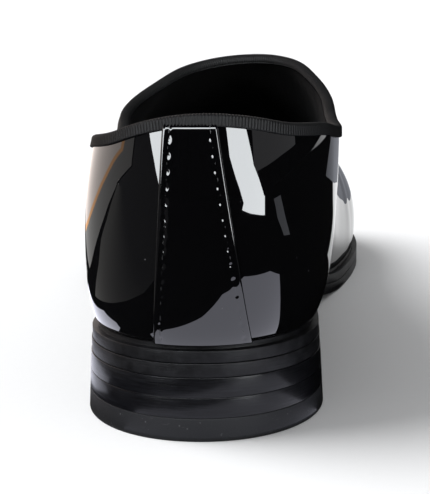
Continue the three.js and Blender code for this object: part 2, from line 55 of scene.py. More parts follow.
def mesh_object(name, points, faces, materials, smooth=True):
    """A piece from points in millimetres on the shoe's axes, put in the frame's place in metres."""
    data = bpy.data.meshes.new(name)
    placed = np.asarray(points, float) * MM + np.array(SHOE_ORIGIN)
    data.from_pydata([tuple(p) for p in placed], [], [tuple(int(i) for i in f) for f in faces])
    for material in materials:
        data.materials.append(material)
    data.validate()
    if smooth:
        data.polygons.foreach_set("use_smooth", [True] * len(data.polygons))
    piece = bpy.data.objects.new(name, data)
    bpy.context.scene.collection.objects.link(piece)
    return piece


def outward(piece):
    """Turns every face of a closed piece outwards."""
    shape = bmesh.new()
    shape.from_mesh(piece.data)
    bmesh.ops.remove_doubles(shape, verts=shape.verts, dist=1e-6)
    bmesh.ops.recalc_face_normals(shape, faces=shape.faces)
    shape.to_mesh(piece.data)
    shape.free()
    return piece


def applied(piece):
    """The piece with its modifiers made part of its mesh."""
    graph = bpy.context.evaluated_depsgraph_get()
    made = bpy.data.meshes.new_from_object(
        piece.evaluated_get(graph), preserve_all_data_layers=True, depsgraph=graph)
    piece.modifiers.clear()
    piece.data = made
    return piece


def skin(rings, closed=True, caps=False):
    """Points and quads over rings of points, each ring as long as the others."""
    rings = [np.asarray(r, float) for r in rings]
    count = len(rings[0])
    points = np.concatenate(rings)
    faces = []
    for level in range(len(rings) - 1):
        for i in range(count if closed else count - 1):
            a = level * count + i
            b = level * count + (i + 1) % count
            faces.append((a, b, b + count, a + count))
    if caps:
        faces.append(tuple(range(count))[::-1])
        faces.append(tuple(range((len(rings) - 1) * count, len(rings) * count)))
    return points, faces


class Socket:
    """An output of a material's node that adds, multiplies and feeds other nodes."""

    def __init__(self, tree, socket):
        self.tree = tree
        self.socket = socket

    def node(self, kind, inputs=None, output=0, **settings):
        made = self.tree.nodes.new(kind)
        for key, value in settings.items():
            setattr(made, key, value)
        for key, value in (inputs or {}).items():
            if isinstance(value, Socket):
                self.tree.links.new(value.socket, made.inputs[key])
            else:
                made.inputs[key].default_value = value
        return Socket(self.tree, made.outputs[output])

    def math(self, operation, *values):
        return self.node("ShaderNodeMath", dict(enumerate(values)), operation=operation)

    def __add__(self, other):
        return self.math("ADD", self, other)

    def __radd__(self, other):
        return self.math("ADD", other, self)

    def __sub__(self, other):
        return self.math("SUBTRACT", self, other)

    def __rsub__(self, other):
        return self.math("SUBTRACT", other, self)

    def __mul__(self, other):
        return self.math("MULTIPLY", self, other)

    def __rmul__(self, other):
        return self.math("MULTIPLY", other, self)

    def __truediv__(self, other):
        return self.math("DIVIDE", self, other)

    def __rtruediv__(self, other):
        return self.math("DIVIDE", other, self)

    def noise(self, scale, detail=2.0, roughness=0.5):
        return self.node("ShaderNodeTexNoise", {"Vector": self, "Scale": scale, "Detail": detail,
                                                "Roughness": roughness}, "Fac")

    def cells(self, scale):
        return self.node("ShaderNodeTexVoronoi", {"Vector": self, "Scale": scale}, "Distance")

    def stretched(self, x, y, z):
        return self.node("ShaderNodeVectorMath", {0: self, 1: (x, y, z)}, operation="MULTIPLY")

    def ramp(self, low, high):
        """0 below low, 1 above high, smooth between."""
        return self.node("ShaderNodeMapRange", {"Value": self, "From Min": low, "From Max": high},
                         interpolation_type="SMOOTHSTEP")

    def colour(self, first, second):
        """The first colour where this is 0 and the second where it is 1."""
        made = self.tree.nodes.new("ShaderNodeMix")
        made.data_type = "RGBA"
        self.tree.links.new(self.socket, made.inputs[0])
        made.inputs[6].default_value = first
        made.inputs[7].default_value = second
        return Socket(self.tree, made.outputs[2])

    def bump(self, distance, strength):
        return self.node("ShaderNodeBump", {"Height": self, "Distance": distance,
                                            "Strength": strength})


def material(name, base, roughness, **uniform):
    """A material with its uniform values set, its place in the object and its shader."""
    made = bpy.data.materials.new(name)
    made.use_nodes = True
    tree = made.node_tree
    shader = tree.nodes["Principled BSDF"]
    shader.inputs["Base Color"].default_value = (*base, 1)
    shader.inputs["Roughness"].default_value = roughness
    for key, value in uniform.items():
        shader.inputs[key.replace("_", " ")].default_value = value
    place = Socket(tree, tree.nodes.new("ShaderNodeTexCoord").outputs["Object"])

    def feed(**sockets):
        for key, value in sockets.items():
            tree.links.new(value.socket, shader.inputs[key.replace("_", " ")])

    return made, place, feed


# The last
# The wooden form that the shoe is made over gives every piece its shape: a plan for the sole, and
# over its edge a section that tucks in at the feather, swells out and arches to a ridge.
sole_length, ball_width, waist_width, heel_width = 300.0, 104.0, 62.0, 63.3
heel_front = 72.0
heel_stack, sole_thickness, outsole, feather = 16.7, 8.4, 3.6, 1.4
seat_height = heel_stack + sole_thickness
back_height = 60.8
cone_height = seat_height + back_height + 34.0
instep_height, ball_height, toe_height = 91.0, 64.0, 45.0
toe_swing, toe_spring, clearance, wall = 8.0, 7.0, 0.3, 2.0
heel_round = (0.126, 2.05)  # where the round end starts, and how square it is
toe_round = (0.72, 2.2)


def through(rows):
    """A smooth curve through the rows of (share of the length, value), without overshoot."""
    x, y = np.array(rows, float).T
    slope = np.diff(y) / np.diff(x)
    with np.errstate(divide="ignore", invalid="ignore"):
        middle = np.where(slope[:-1] * slope[1:] > 0,
                          2 * slope[:-1] * slope[1:] / (slope[:-1] + slope[1:]), 0)
    tangent = np.concatenate([slope[:1], middle, slope[-1:]])

    def at(t):
        t = np.clip(t, x[0], x[-1])
        i = np.clip(np.searchsorted(x, t, side="left") - 1, 0, len(x) - 2)
        span = x[i + 1] - x[i]
        s = (t - x[i]) / span
        return (y[i] * (1 + 2 * s) * (1 - s) ** 2 + tangent[i] * span * s * (1 - s) ** 2
                + y[i + 1] * s * s * (3 - 2 * s) + tangent[i + 1] * span * s * s * (s - 1))

    return at


# Half widths of the sole in millimetres, to the inner and the outer side.
plan_rows = [
    (0.0, 0.5 * heel_width, 0.5 * heel_width), (0.125, 0.5 * heel_width, 0.5 * heel_width),
    (0.2, 0.488 * heel_width, 0.507 * heel_width), (0.27, 0.46 * waist_width, 0.532 * waist_width),
    (0.35, 0.435 * waist_width, 0.565 * waist_width), (0.43, 0.275 * ball_width, 0.38 * ball_width),
    (0.5, 0.318 * ball_width, 0.433 * ball_width), (0.57, 0.37 * ball_width, 0.49 * ball_width),
    (0.64, 0.41 * ball_width, 0.538 * ball_width), (0.7, 0.429 * ball_width, 0.558 * ball_width),
    (0.8, 0.438 * ball_width, 0.548 * ball_width), (0.9, 0.43 * ball_width, 0.515 * ball_width),
    (1.0, 0.42 * ball_width, 0.47 * ball_width),
]
medial_plan = through([(a, m) for a, m, _ in plan_rows])
lateral_plan = through([(a, l) for a, _, l in plan_rows])
breast = heel_front / sole_length
underside = through([
    (0, heel_stack), (breast, heel_stack - 1), (breast + 0.06, 0.88 * heel_stack),
    (0.38, 0.66 * heel_stack), (0.46, 0.38 * heel_stack), (0.54, 0.13 * heel_stack), (0.61, 0),
    (0.73, 0), (0.8, 0.12 * toe_spring), (0.88, 0.42 * toe_spring), (1, toe_spring),
])
edge_inset = through([(0, 1.3), (0.3, 1.508), (0.45, 2.002), (1, 2.6)])
# Swell past the feather edge, height of the widest line over it, and squareness, by side.
medial_rows = [
    (0.0, 3.8, 18, 2.5), (0.1, 5.2, 26, 2.8), (0.2, 8.0, 40, 3.2), (0.3, 10.2, 36, 3.2),
    (0.36, 11.4, 30, 2.9), (0.45, 8.4, 24, 2.6), (0.55, 3.4, 15, 2.3), (0.65, 1.2, 9, 2.1),
    (0.8, 1.2, 8, 2.1), (1.0, 1.4, 9, 2.3),
]
lateral_rows = [
    (0.0, 3.8, 18, 2.5), (0.1, 3.0, 18, 1.9), (0.2, 1.8, 16.8, 1.6), (0.3, 2.0, 20, 1.8),
    (0.36, 2.4, 22, 1.98), (0.45, 1.3, 18, 1.8), (0.55, 2.2, 14, 1.9), (0.65, 1.8, 11, 2),
    (0.8, 1.6, 9, 2.1), (1.0, 1.4, 9, 2.3),
]
medial_side = [through([(row[0], row[k]) for row in medial_rows]) for k in (1, 2, 3)]
lateral_side = [through([(row[0], row[k]) for row in lateral_rows]) for k in (1, 2, 3)]
ridge_rows = [
    (0.0, cone_height, 0), (0.2, 0.985 * cone_height, 0.02), (0.32, 0.93 * cone_height, 0.09),
    (0.42, 1.105 * instep_height, 0.14), (0.5, instep_height, 0.15),
    (0.58, 0.865 * instep_height, 0.145), (0.67, 1.06 * ball_height, 0.13),
    (0.76, 0.92 * ball_height, 0.12), (0.87, 1.07 * toe_height, 0.13),
    (1.0, 0.9 * toe_height, 0.14),
]
ridge_height = through([(a, h) for a, h, _ in ridge_rows])
ridge_across = through([(a, x * ball_width / 2) for a, _, x in ridge_rows])


def sole_top(along):
    return underside(along) + sole_thickness


def smooth_step(t):
    t = np.clip(t, 0, 1)
    return t * t * (3 - 2 * t)


def end_rounding(along):
    """The share of the half width left at a station, which rounds the plan's two ends."""
    along = np.asarray(along, float)
    heel = np.clip(1 - along / heel_round[0], 0, 1)
    toe = np.clip((along - toe_round[0]) / (1 - toe_round[0]), 0, 1)
    left = (1 - heel ** heel_round[1]) ** (1 / heel_round[1])
    return left * (1 - toe ** toe_round[1]) ** (1 / toe_round[1])


def plan_loop(heel_steps, middle_steps, toe_steps):
    """The sole's plan: (share of the length, side, x, y) from the heel round the outer side."""
    heel = heel_round[0] * (1 - np.cos(np.linspace(0, np.pi / 2, heel_steps, endpoint=False)))
    middle = np.linspace(heel_round[0], toe_round[0], middle_steps, endpoint=False)
    toe = toe_round[0] + (1 - toe_round[0]) * np.sin(np.linspace(0, np.pi / 2, toe_steps + 1))
    outer = np.concatenate([heel, middle, toe])
    along = np.concatenate([outer, outer[-2:0:-1]])
    side = np.concatenate([-np.ones(len(outer)), np.ones(len(outer) - 2)])
    half = np.where(side > 0, medial_plan(along), lateral_plan(along))
    x = toe_swing * smooth_step((along - 0.55) / 0.45) + side * half * end_rounding(along)
    return along, side, np.stack([x, along * sole_length], 1)


def inset_loop(along, plan, distance):
    """The plan moved inwards, square to itself."""
    run = np.roll(plan, -1, 0) - np.roll(plan, 1, 0)
    run /= np.linalg.norm(run, axis=1)[:, None]
    move = np.broadcast_to(distance(along) if callable(distance) else distance, along.shape)
    return plan + np.stack([run[:, 1], -run[:, 0]], 1) * np.asarray(move)[:, None]


def ridge_station(along):
    """Where on the ridge a station's side leans in to: a fan round the heel and the toe."""
    along = np.asarray(along, float)
    heel_from, heel_to, toe_from, toe_to = 0.26, 0.13, 0.66, 0.87
    t = np.clip(1 - along / heel_from, 0, 1)
    kept = (heel_from - heel_to) / heel_from
    heel = heel_from - heel_from * (t - (1 - kept) * t * t)
    u = np.clip((along - toe_from) / (1 - toe_from), 0, 1)
    kept = (toe_to - toe_from) / (1 - toe_from)
    toe = toe_from + (1 - toe_from) * (u - (1 - kept) * u * u)
    return np.where(along < heel_from, heel, np.where(along > toe_from, toe, along))


def section(along, side, plan, swelling, angle):
    """The points of the last's side at one turn round its section, over the feather edge."""
    ridge = ridge_station(along)
    ridge_plan = np.stack([ridge_across(ridge), ridge * sole_length], 1)
    run = np.linalg.norm(plan - ridge_plan, axis=1)
    medial = (1 + end_rounding(along) * side) / 2
    swell, height, power = (medial * m(along) + (1 - medial) * l(along)
                            for m, l in zip(medial_side, lateral_side))
    widest = sole_top(along) + clearance + height
    if swelling:
        tuck = math.sin(math.radians(25))
        reach = run + swell * (math.sin(angle) - tuck) / (1 - tuck)
        z = widest - height * math.cos(angle) / math.cos(math.radians(25))
    else:
        reach = (run + swell) * max(math.cos(angle), 0) ** (2 / power)
        z = widest + (ridge_height(ridge) - widest) * math.sin(angle) ** (2 / power)
    flat = ridge_plan + (plan - ridge_plan) * (reach / run)[:, None]
    return np.column_stack([flat, z])


# The frame's origin is the middle of the footprint: the heel's back and the ball's inner side give
# the place of the shoe's own axes in it.
whole_along, whole_side, whole_plan = plan_loop(36, 110, 48)
toe_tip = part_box("midsole")[1].y
ball_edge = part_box("midsole")[1].x
SHOE_ORIGIN = (ball_edge - whole_plan[:, 0].max() * MM, toe_tip - sole_length * MM, 0.0)


# Patent leather
# Black calf under a thick clear lacquer: the leather shows only as a deep black, and the lacquer
# mirrors the room with a slow waviness, a few dust nibs and hairline rubs.
patent, place, feed = material(
    "patent_leather", (0.0022, 0.0022, 0.0026), 0.02, IOR=1.52, Specular_IOR_Level=0.5)
waves = place.noise(38, 0.5) * 0.9 + place.noise(150, 1.0) * 0.06
specks = 1.0 - place.cells(330).ramp(0.03, 0.06)
chosen = place.noise(900, 0.0).ramp(0.62, 0.68)
dust = specks * chosen
rubs = place.stretched(1, 1, 9).noise(520, 3.0, 0.6).ramp(0.62, 0.78)
feed(
    Base_Color=dust.colour((0.0022, 0.0022, 0.0026, 1), (0.12, 0.12, 0.125, 1)),
    Roughness=0.015 + rubs * 0.05 + dust * 0.3,
    Normal=(dust * 0.25 + waves).bump(0.0008, 0.25),
)


# Lining
# Black glazed goatskin inside the upper and over the insole: a soft sheen and a fine pebble grain.
lining, place, feed = material("lining", (0.010, 0.010, 0.011), 0.5, Specular_IOR_Level=0.4)
pebble = place.cells(900) + place.noise(1500, 2.0) * 0.5
cloud = place.noise(45, 3.0)
feed(
    Base_Color=cloud.ramp(0.3, 0.7).colour((0.007, 0.007, 0.008, 1), (0.018, 0.017, 0.017, 1)),
    Roughness=0.42 + cloud * 0.2,
    Normal=pebble.bump(0.00012, 0.5),
)


# Upper
# One hollow shell of patent leather lasted over the form, 2 mm thick with its lining, turned in
# under the insole all round and cut along the collar. Its creases are listed one by one.
side_height, throat_height, collar_tilt = 48.4, 65.7, 0.05
edge_inside_ribbon = 0.9  # how far the leather's cut edge stops under the collar line
collar_height = through([
    (-0.1, seat_height + 1.05 * back_height), (-0.02, seat_height + 1.025 * back_height),
    (-0.005, seat_height + back_height), (0.012, seat_height + 0.956 * back_height),
    (0.04, seat_height + 0.9 * back_height), (0.09, seat_height + 1.09 * side_height),
    (0.15, seat_height + 1.03 * side_height), (0.22, seat_height + side_height),
    (0.29, seat_height + 1.015 * side_height), (0.36, seat_height + 1.087 * side_height),
    (0.42, seat_height + 0.875 * throat_height), (0.465, seat_height + 0.94 * throat_height),
    (0.5, seat_height + 0.975 * throat_height), (0.58, seat_height + 1.09 * throat_height),
    (0.7, seat_height + 1.3 * throat_height),
])
waves_in_leather = [  # share of the length, side, height mm, reach along, reach up, depth mm
    (0.035, -1, 50, 8, 30, 0.25), (0.045, 1, 44, 9, 26, 0.3),
    (0.14, -1, 40, 22, 11, 0.35), (0.15, 1, 62, 24, 9, 0.3),
    (0.27, -1, 58, 26, 10, 0.4), (0.29, 1, 52, 30, 9, 0.4),
    (0.40, -1, 44, 18, 7, 0.3), (0.42, 1, 40, 20, 7, 0.3),
    (0.655, -1, 46, 5, 24, 0.35), (0.665, 1, 44, 5, 22, 0.35),
    (0.70, -1, 42, 6, 20, 0.25), (0.705, 1, 40, 6, 20, 0.25),
]


def shaped_by_hand(points, along, side):
    """How far the leather sinks at each point of the last's surface, in millimetres."""
    sunk = np.zeros(len(points))
    for share, which, height, reach, rise, depth in waves_in_leather:
        across = (along - share) * sole_length / reach
        up = (points[:, 2] - height) / rise
        sunk += np.where(side == which, depth * np.exp(-across ** 2 - up ** 2), 0)
    return sunk


def last_surface(columns, swell_steps, arch_steps):
    """The last's outer side as rings of points, from the feather edge to the ridge."""
    along, side, plan = columns
    edge = inset_loop(along, plan, edge_inset)
    turns = [(True, math.radians(25 + 65 * i / swell_steps)) for i in range(swell_steps)]
    turns += [(False, math.pi / 2 * i / arch_steps) for i in range(arch_steps + 1)]
    return [section(along, side, edge, *turn) for turn in turns]


def collar_lift(points):
    """The height of each point over the collar line, which is tilted down to the outer side."""
    return (points[:, 2] - collar_height(points[:, 1] / sole_length)
            - collar_tilt * points[:, 0])


rings = last_surface((whole_along, whole_side, whole_plan), 14, 46)
grid = np.array(rings)
around = np.roll(grid, -1, 1) - np.roll(grid, 1, 1)
upwards = np.gradient(grid, axis=0)
normals = np.cross(upwards, around)
normals /= np.maximum(np.linalg.norm(normals, axis=2), 1e-9)[..., None]
for level in range(len(grid) - 3):
    sunk = shaped_by_hand(grid[level], whole_along, whole_side)
    grid[level] -= normals[level] * sunk[:, None]
turned_in = []
for inwards in (4.5, 2.0):
    flat = inset_loop(whole_along, inset_loop(whole_along, whole_plan, edge_inset), inwards)
    turned_in.append(np.column_stack([flat, sole_top(whole_along) + clearance]))
last_points, last_faces = skin(list(grid))
form = BVHTree.FromPolygons([Vector(p) for p in last_points], last_faces)
points, faces = skin(turned_in + list(grid))
warped = points.copy()
warped[:, 2] = collar_lift(points)

shell = bmesh.new()
corners = [shell.verts.new(p) for p in warped]
for face in faces:
    shell.faces.new([corners[i] for i in face])
bmesh.ops.bisect_plane(
    shell, geom=shell.verts[:] + shell.edges[:] + shell.faces[:], dist=1e-4, clear_outer=True,
    plane_co=(0, 0, -edge_inside_ribbon), plane_no=(0, 0, 1))
for v in shell.verts:
    v.co.z += collar_height(v.co.y / sole_length) + collar_tilt * v.co.x
bmesh.ops.remove_doubles(shell, verts=shell.verts, dist=0.02)
bmesh.ops.recalc_face_normals(shell, faces=shell.faces)
collar_edge = [e for e in shell.edges if e.is_boundary
               and abs(collar_lift(np.array([e.verts[0].co]))[0] + edge_inside_ribbon) < 0.05]
chain = [collar_edge[0].verts[0], collar_edge[0].verts[1]]
links = {}
for e in collar_edge:
    for v in e.verts:
        links.setdefault(v, []).append(e.other_vert(v))
while len(chain) < len(collar_edge):
    chain.append(next(v for v in links[chain[-1]] if v is not chain[-2]))
collar_line = np.array([v.co for v in chain])
shell.verts.ensure_lookup_table()
outside = sum(f.calc_area() * f.normal.dot(f.calc_center_median() - Vector((0, 150, 60)))
              for f in shell.faces)
if outside < 0:
    bmesh.ops.reverse_faces(shell, faces=shell.faces)
shell_points = np.array([v.co for v in shell.verts])
shell.verts.index_update()
shell_faces = [[v.index for v in f.verts] for f in shell.faces]
shell.free()
upper = mesh_object("upper_leather", shell_points, shell_faces, [patent, lining])
thick = upper.modifiers.new("wall", "SOLIDIFY")
thick.thickness = wall * MM
thick.offset = -1
thick.material_offset = 1
thick.material_offset_rim = 0
applied(upper)
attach(upper, "root")
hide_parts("upper")


# Collar binding
# A black grosgrain ribbon folded over the collar's edge and sewn down: its ribs run across it,
# 0.85 mm apart, and its two edges are beaded.
ribbon_material, place, feed = material("grosgrain", (0.002, 0.002, 0.0024), 0.6,
                                        Specular_IOR_Level=0.13)
threads = place.noise(4200, 2.0)
faded = place.noise(160, 3.0)
feed(
    Base_Color=(threads * 0.6 + faded * 0.4).ramp(0.3, 0.7).colour(
        (0.0012, 0.0012, 0.0015, 1), (0.005, 0.005, 0.006, 1)),
    Roughness=0.42 + threads * 0.25,
    Normal=threads.bump(0.00006, 0.5),
)
rib_pitch, rib_depth = 0.85, 0.2
ribbon_depth, inside_depth, ribbon_thickness = 2.75, 0.8, 0.5
closed = np.vstack([collar_line, collar_line[:1]])
run = np.concatenate([[0], np.cumsum(np.linalg.norm(np.diff(closed, axis=0), axis=1))])
even = np.linspace(0, run[-1], 361)[:-1]
coarse = np.column_stack([np.interp(even, run, closed[:, k]) for k in range(3)])
for _ in range(6):
    coarse = 0.5 * coarse + 0.25 * (np.roll(coarse, 1, 0) + np.roll(coarse, -1, 0))
leather = []
for p in coarse:
    hit, normal, _, _ = form.find_nearest(Vector(p))
    if normal.dot(hit - Vector((p[0] * 0.2, min(max(hit.y, 60), 200), 40))) < 0:
        normal = -normal
    leather.append(normal)
leather = np.array(leather)
for _ in range(8):
    leather = 0.5 * leather + 0.25 * (np.roll(leather, 1, 0) + np.roll(leather, -1, 0))
leather /= np.linalg.norm(leather, axis=1)[:, None]
forward = np.roll(coarse, -1, 0) - np.roll(coarse, 1, 0)
forward /= np.linalg.norm(forward, axis=1)[:, None]
down = np.cross(leather, forward)
down /= np.linalg.norm(down, axis=1)[:, None]
down *= np.sign(-down[:, 2:3] + 1e-9)
ribs = int(round(run[-1] / rib_pitch))
steps_of_rib = 5
samples = ribs * steps_of_rib
fine = np.linspace(0, run[-1], samples, endpoint=False)
even_closed = np.append(even, run[-1])


def finely(values):
    return np.column_stack([np.interp(fine, even_closed, np.append(values[:, k], values[0, k]))
                            for k in range(3)])


middle, out, drop = finely(coarse), finely(leather), finely(down)
phase = np.arange(samples) * 2 * np.pi / steps_of_rib
raised = rib_depth * (0.5 + 0.5 * np.cos(phase))
outer, inner = 0.12, wall + 0.12
profile = []  # distance down, distance out of the leather's face, and how much a rib raises it
for share in (1.0, 0.94, 0.8, 0.6, 0.4, 0.2):
    profile.append((ribbon_depth * share, outer + ribbon_thickness * (0.9 if share == 1 else 1), 1))
for turn in np.linspace(0, np.pi, 7):
    half = (wall + 2 * (outer + ribbon_thickness)) / 2
    profile.append((-0.85 * math.sin(turn) + 0.25, -wall / 2 + half * math.cos(turn), 1))
for share in (0.3, 0.5, 0.75, 0.94, 1.0):
    profile.append((inside_depth * share,
                    -inner - ribbon_thickness * (0.55 if share == 1 else 1), 1))
profile += [(inside_depth, -inner, 0), (inside_depth * 0.5, -inner, 0), (0.1, -inner, 0),
            (0.1, outer, 0), (ribbon_depth * 0.5, outer, 0), (ribbon_depth, outer, 0)]
middle_of_wall = -wall / 2
rings = []
for deep, off, rib in profile:
    grown = raised * rib * (1 if off > middle_of_wall else -1)
    if rib and deep < 0.25:
        centre_off, centre_deep = middle_of_wall, 0.25
        away = np.hypot(off - centre_off, deep - centre_deep)
        ring = (middle + out * (off + raised * (off - centre_off) / away)[:, None]
                + drop * (deep + raised * (deep - centre_deep) / away)[:, None])
    else:
        ring = middle + out * (off + grown)[:, None] + drop * deep
    rings.append(ring)
ribbon_points, ribbon_faces = skin(rings + [rings[0]])
binding = outward(mesh_object("collar_ribbon", ribbon_points, ribbon_faces, [ribbon_material]))
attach(binding, "root")
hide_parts("collar_binding")


# Back strip
# A tapered strip of the same patent leather over the back seam, 0.95 mm thick with skived edges,
# sewn 2 mm inside each edge. Each stitch pulls the lacquer into a small dimple at its ends.
strip_thickness, stitch_inset, stitch_pitch = 0.95, 2.0, 3.9
strip_bottom, strip_top = seat_height + 0.35, seat_height + back_height - 3.25
strip_rise = strip_top - strip_bottom
top_width, foot_width, foot_offset, top_lean = 13.4, 25.2, 1.6, 2.5
edge_skive, top_skive, seam_width, seam_depth, pucker_depth = 0.7, 2.2, 0.7, 0.04, 0.12
columns, rows = 97, 241


def half_width(v):
    return (foot_width + (top_width - foot_width) * v) / 2


def strip_place(u, v):
    """(x, z) on the strip, u from -1 at its outer edge to 1 at its inner, v from foot to top."""
    return foot_offset - top_lean * v + u * half_width(v), strip_bottom + strip_rise * v


def on_back(x, z):
    """The leather's point and normal that is seen from straight behind at (x, z)."""
    hit, normal, _, _ = form.ray_cast(Vector((x, -40, z)), Vector((0, 1, 0)))
    if normal.y > 0:
        normal = -normal
    return np.array(hit), np.array(normal)


stitches = []
for side in (-1, 1):
    for i in range(int(strip_rise / stitch_pitch)):
        z = strip_bottom + 1.6 + i * stitch_pitch
        v = (z + stitch_pitch / 2 - strip_bottom) / strip_rise
        if v <= 0.985:
            stitches.append((side * (1 - stitch_inset / half_width(v)), v, side))
holes = []
for u, v, side in stitches:
    below = v - 0.5 * stitch_pitch / strip_rise
    holes.append(strip_place(side * (1 - stitch_inset / half_width(below)), below))
holes = np.array(holes)
u_of = (np.sin(np.linspace(-np.pi / 2, np.pi / 2, columns)) * 0.35
        + np.linspace(-1, 1, columns) * 0.65)
spots = np.array([[strip_place(u, row / (rows - 1)) for u in u_of] for row in range(rows)])
lies = np.array([[on_back(*spot)[0] for spot in line] for line in spots])
weights = np.exp(-(np.arange(-14, 15) / 6.0) ** 2)
weights /= weights.sum()
for axis in (0, 1):
    padding = [(14, 14) if k == axis else (0, 0) for k in (0, 1)]
    padded = np.pad(lies[..., 1], padding, mode="reflect", reflect_type="odd")
    lies[..., 1] = np.apply_along_axis(lambda line: np.convolve(line, weights, "valid"), axis,
                                       padded)
facing = np.cross(np.gradient(lies, axis=1), np.gradient(lies, axis=0))
facing /= np.linalg.norm(facing, axis=2)[..., None]
facing *= np.sign(-facing[..., 1:2])
top_side, under_side = [], []
for row in range(rows):
    v = row / (rows - 1)
    for column, u in enumerate(u_of):
        x, z = spots[row, column]
        base, normal = lies[row, column], facing[row, column]
        edge = (1 - abs(u)) * half_width(v)
        raised = strip_thickness * math.sqrt(1 - (1 - min(edge / edge_skive, 1)) ** 2)
        raised *= min(1, 0.05 + 0.95 * (1 - v) * strip_rise / top_skive)
        seam = math.exp(-((edge - stitch_inset) / seam_width) ** 2) * seam_depth
        near = np.min(np.hypot(holes[:, 0] - x, (holes[:, 1] - z) / 1.25))
        pucker = pucker_depth * math.exp(-(near / 0.5) ** 2)
        height = 0.08 + max(raised - (seam + pucker) * min(1, edge / edge_skive), 0)
        top_side.append(base + normal * height)
        under_side.append(base - normal * 0.15)
count = columns * rows
points = np.array(top_side + under_side)
faces = []
for row in range(rows - 1):
    for c in range(columns - 1):
        a = row * columns + c
        faces.append((a, a + 1, a + 1 + columns, a + columns))
        faces.append((count + a + columns, count + a + 1 + columns, count + a + 1, count + a))
border = (list(range(columns)) + [r * columns + columns - 1 for r in range(1, rows)]
          + [(rows - 1) * columns + c for c in range(columns - 2, -1, -1)]
          + [r * columns for r in range(rows - 2, 0, -1)])
for i, a in enumerate(border):
    b = border[(i + 1) % len(border)]
    faces.append((a, count + a, count + b, b))
strip = outward(mesh_object("back_strip_leather", points, faces, [patent]))
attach(strip, "root")
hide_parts("back_strip")


# Stitches of the back strip
# Black waxed thread, 0.42 mm thick, in two rows. Each stitch lies in the leather between holes.
thread_material, place, feed = material("waxed_thread", (0.010, 0.010, 0.011), 0.45,
                                        Specular_IOR_Level=0.5)
twist = place.stretched(1, 1, 0.6).noise(5200, 1.0)
feed(
    Base_Color=twist.ramp(0.35, 0.7).colour((0.006, 0.006, 0.007, 1), (0.03, 0.03, 0.032, 1)),
    Roughness=0.4 + twist * 0.25,
    Normal=twist.bump(0.00008, 0.7),
)
places, turns = [], []
for u, v, side in stitches:
    here, normal = on_back(*strip_place(u, v))
    step = 0.6 / strip_rise
    above, _ = on_back(*strip_place(u, v + step))
    below, _ = on_back(*strip_place(u, v - step))
    along = Vector(above - below).normalized()
    out_of = Vector(normal)
    right = along.cross(out_of).normalized()
    out_of = right.cross(along).normalized()
    turn = Matrix((right, along, out_of)).transposed()
    places.append(here + np.array(out_of) * (0.08 + strip_thickness - 0.25))
    turns.append(turn.to_euler())
seed_mesh = mesh_object("stitch_places", places, [], [])
attribute = seed_mesh.data.attributes.new("turn", "FLOAT_VECTOR", "POINT")
attribute.data.foreach_set("vector", np.array([list(t) for t in turns]).ravel())

tree = bpy.data.node_groups.new("stitch_row", "GeometryNodeTree")
tree.interface.new_socket("Geometry", in_out="INPUT", socket_type="NodeSocketGeometry")
length_socket = tree.interface.new_socket("Stitch length", in_out="INPUT",
                                          socket_type="NodeSocketFloat")
width_socket = tree.interface.new_socket("Thread width", in_out="INPUT",
                                         socket_type="NodeSocketFloat")
tree.interface.new_socket("Geometry", in_out="OUTPUT", socket_type="NodeSocketGeometry")
nodes, links = tree.nodes, tree.links
given = nodes.new("NodeGroupInput")
result = nodes.new("NodeGroupOutput")
ball = nodes.new("GeometryNodeMeshUVSphere")
ball.inputs["Segments"].default_value = 10
ball.inputs["Rings"].default_value = 10
ball.inputs["Radius"].default_value = 0.5
scale = nodes.new("ShaderNodeCombineXYZ")
turn = nodes.new("GeometryNodeInputNamedAttribute")
turn.data_type = "FLOAT_VECTOR"
turn.inputs["Name"].default_value = "turn"
to_rotation = nodes.new("FunctionNodeEulerToRotation")
placed = nodes.new("GeometryNodeInstanceOnPoints")
real = nodes.new("GeometryNodeRealizeInstances")
shade = nodes.new("GeometryNodeSetShadeSmooth")
paint = nodes.new("GeometryNodeSetMaterial")
paint.inputs["Material"].default_value = thread_material
links.new(given.outputs["Thread width"], scale.inputs["X"])
links.new(given.outputs["Stitch length"], scale.inputs["Y"])
links.new(given.outputs["Thread width"], scale.inputs["Z"])
links.new(turn.outputs["Attribute"], to_rotation.inputs["Euler"])
links.new(given.outputs["Geometry"], placed.inputs["Points"])
links.new(ball.outputs["Mesh"], placed.inputs["Instance"])
links.new(to_rotation.outputs["Rotation"], placed.inputs["Rotation"])
links.new(scale.outputs["Vector"], placed.inputs["Scale"])
links.new(placed.outputs["Instances"], real.inputs["Geometry"])
links.new(real.outputs["Geometry"], shade.inputs["Geometry"])
links.new(shade.outputs["Geometry"], paint.inputs["Geometry"])
links.new(paint.outputs["Geometry"], result.inputs["Geometry"])
modifier = seed_mesh.modifiers.new("stitch_row", "NODES")
modifier.node_group = tree
modifier[length_socket.identifier] = 3.1 * MM
modifier[width_socket.identifier] = 0.42 * MM
applied(seed_mesh)
seed_mesh.name = "strip_stitches"
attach(seed_mesh, "root")


# Sole edge
# Outsole and midsole of black stained leather, trimmed flush and burnished, with a fine line
# between them and a narrow dark ledge under the upper.
sole_material, place, feed = material("sole_edge", (0.007, 0.007, 0.0085), 0.4,
                                      Specular_IOR_Level=0.12)
layers = place.stretched(1, 1, 14).noise(170, 3.0, 0.6)
marks = place.noise(240, 4.0, 0.65)
nicks = 1.0 - place.cells(420).ramp(0.05, 0.12)
worn = nicks * place.noise(700, 0.0).ramp(0.6, 0.68)
feed(
    Base_Color=(marks.ramp(0.35, 0.75) * 0.7 + worn * 0.6).colour(
        (0.004, 0.004, 0.005, 1), (0.015, 0.0155, 0.018, 1)),
    Roughness=0.34 + marks * 0.22 + worn * 0.2,
    Normal=(layers * 0.7 + marks * 0.3).bump(0.00022, 0.45),
)


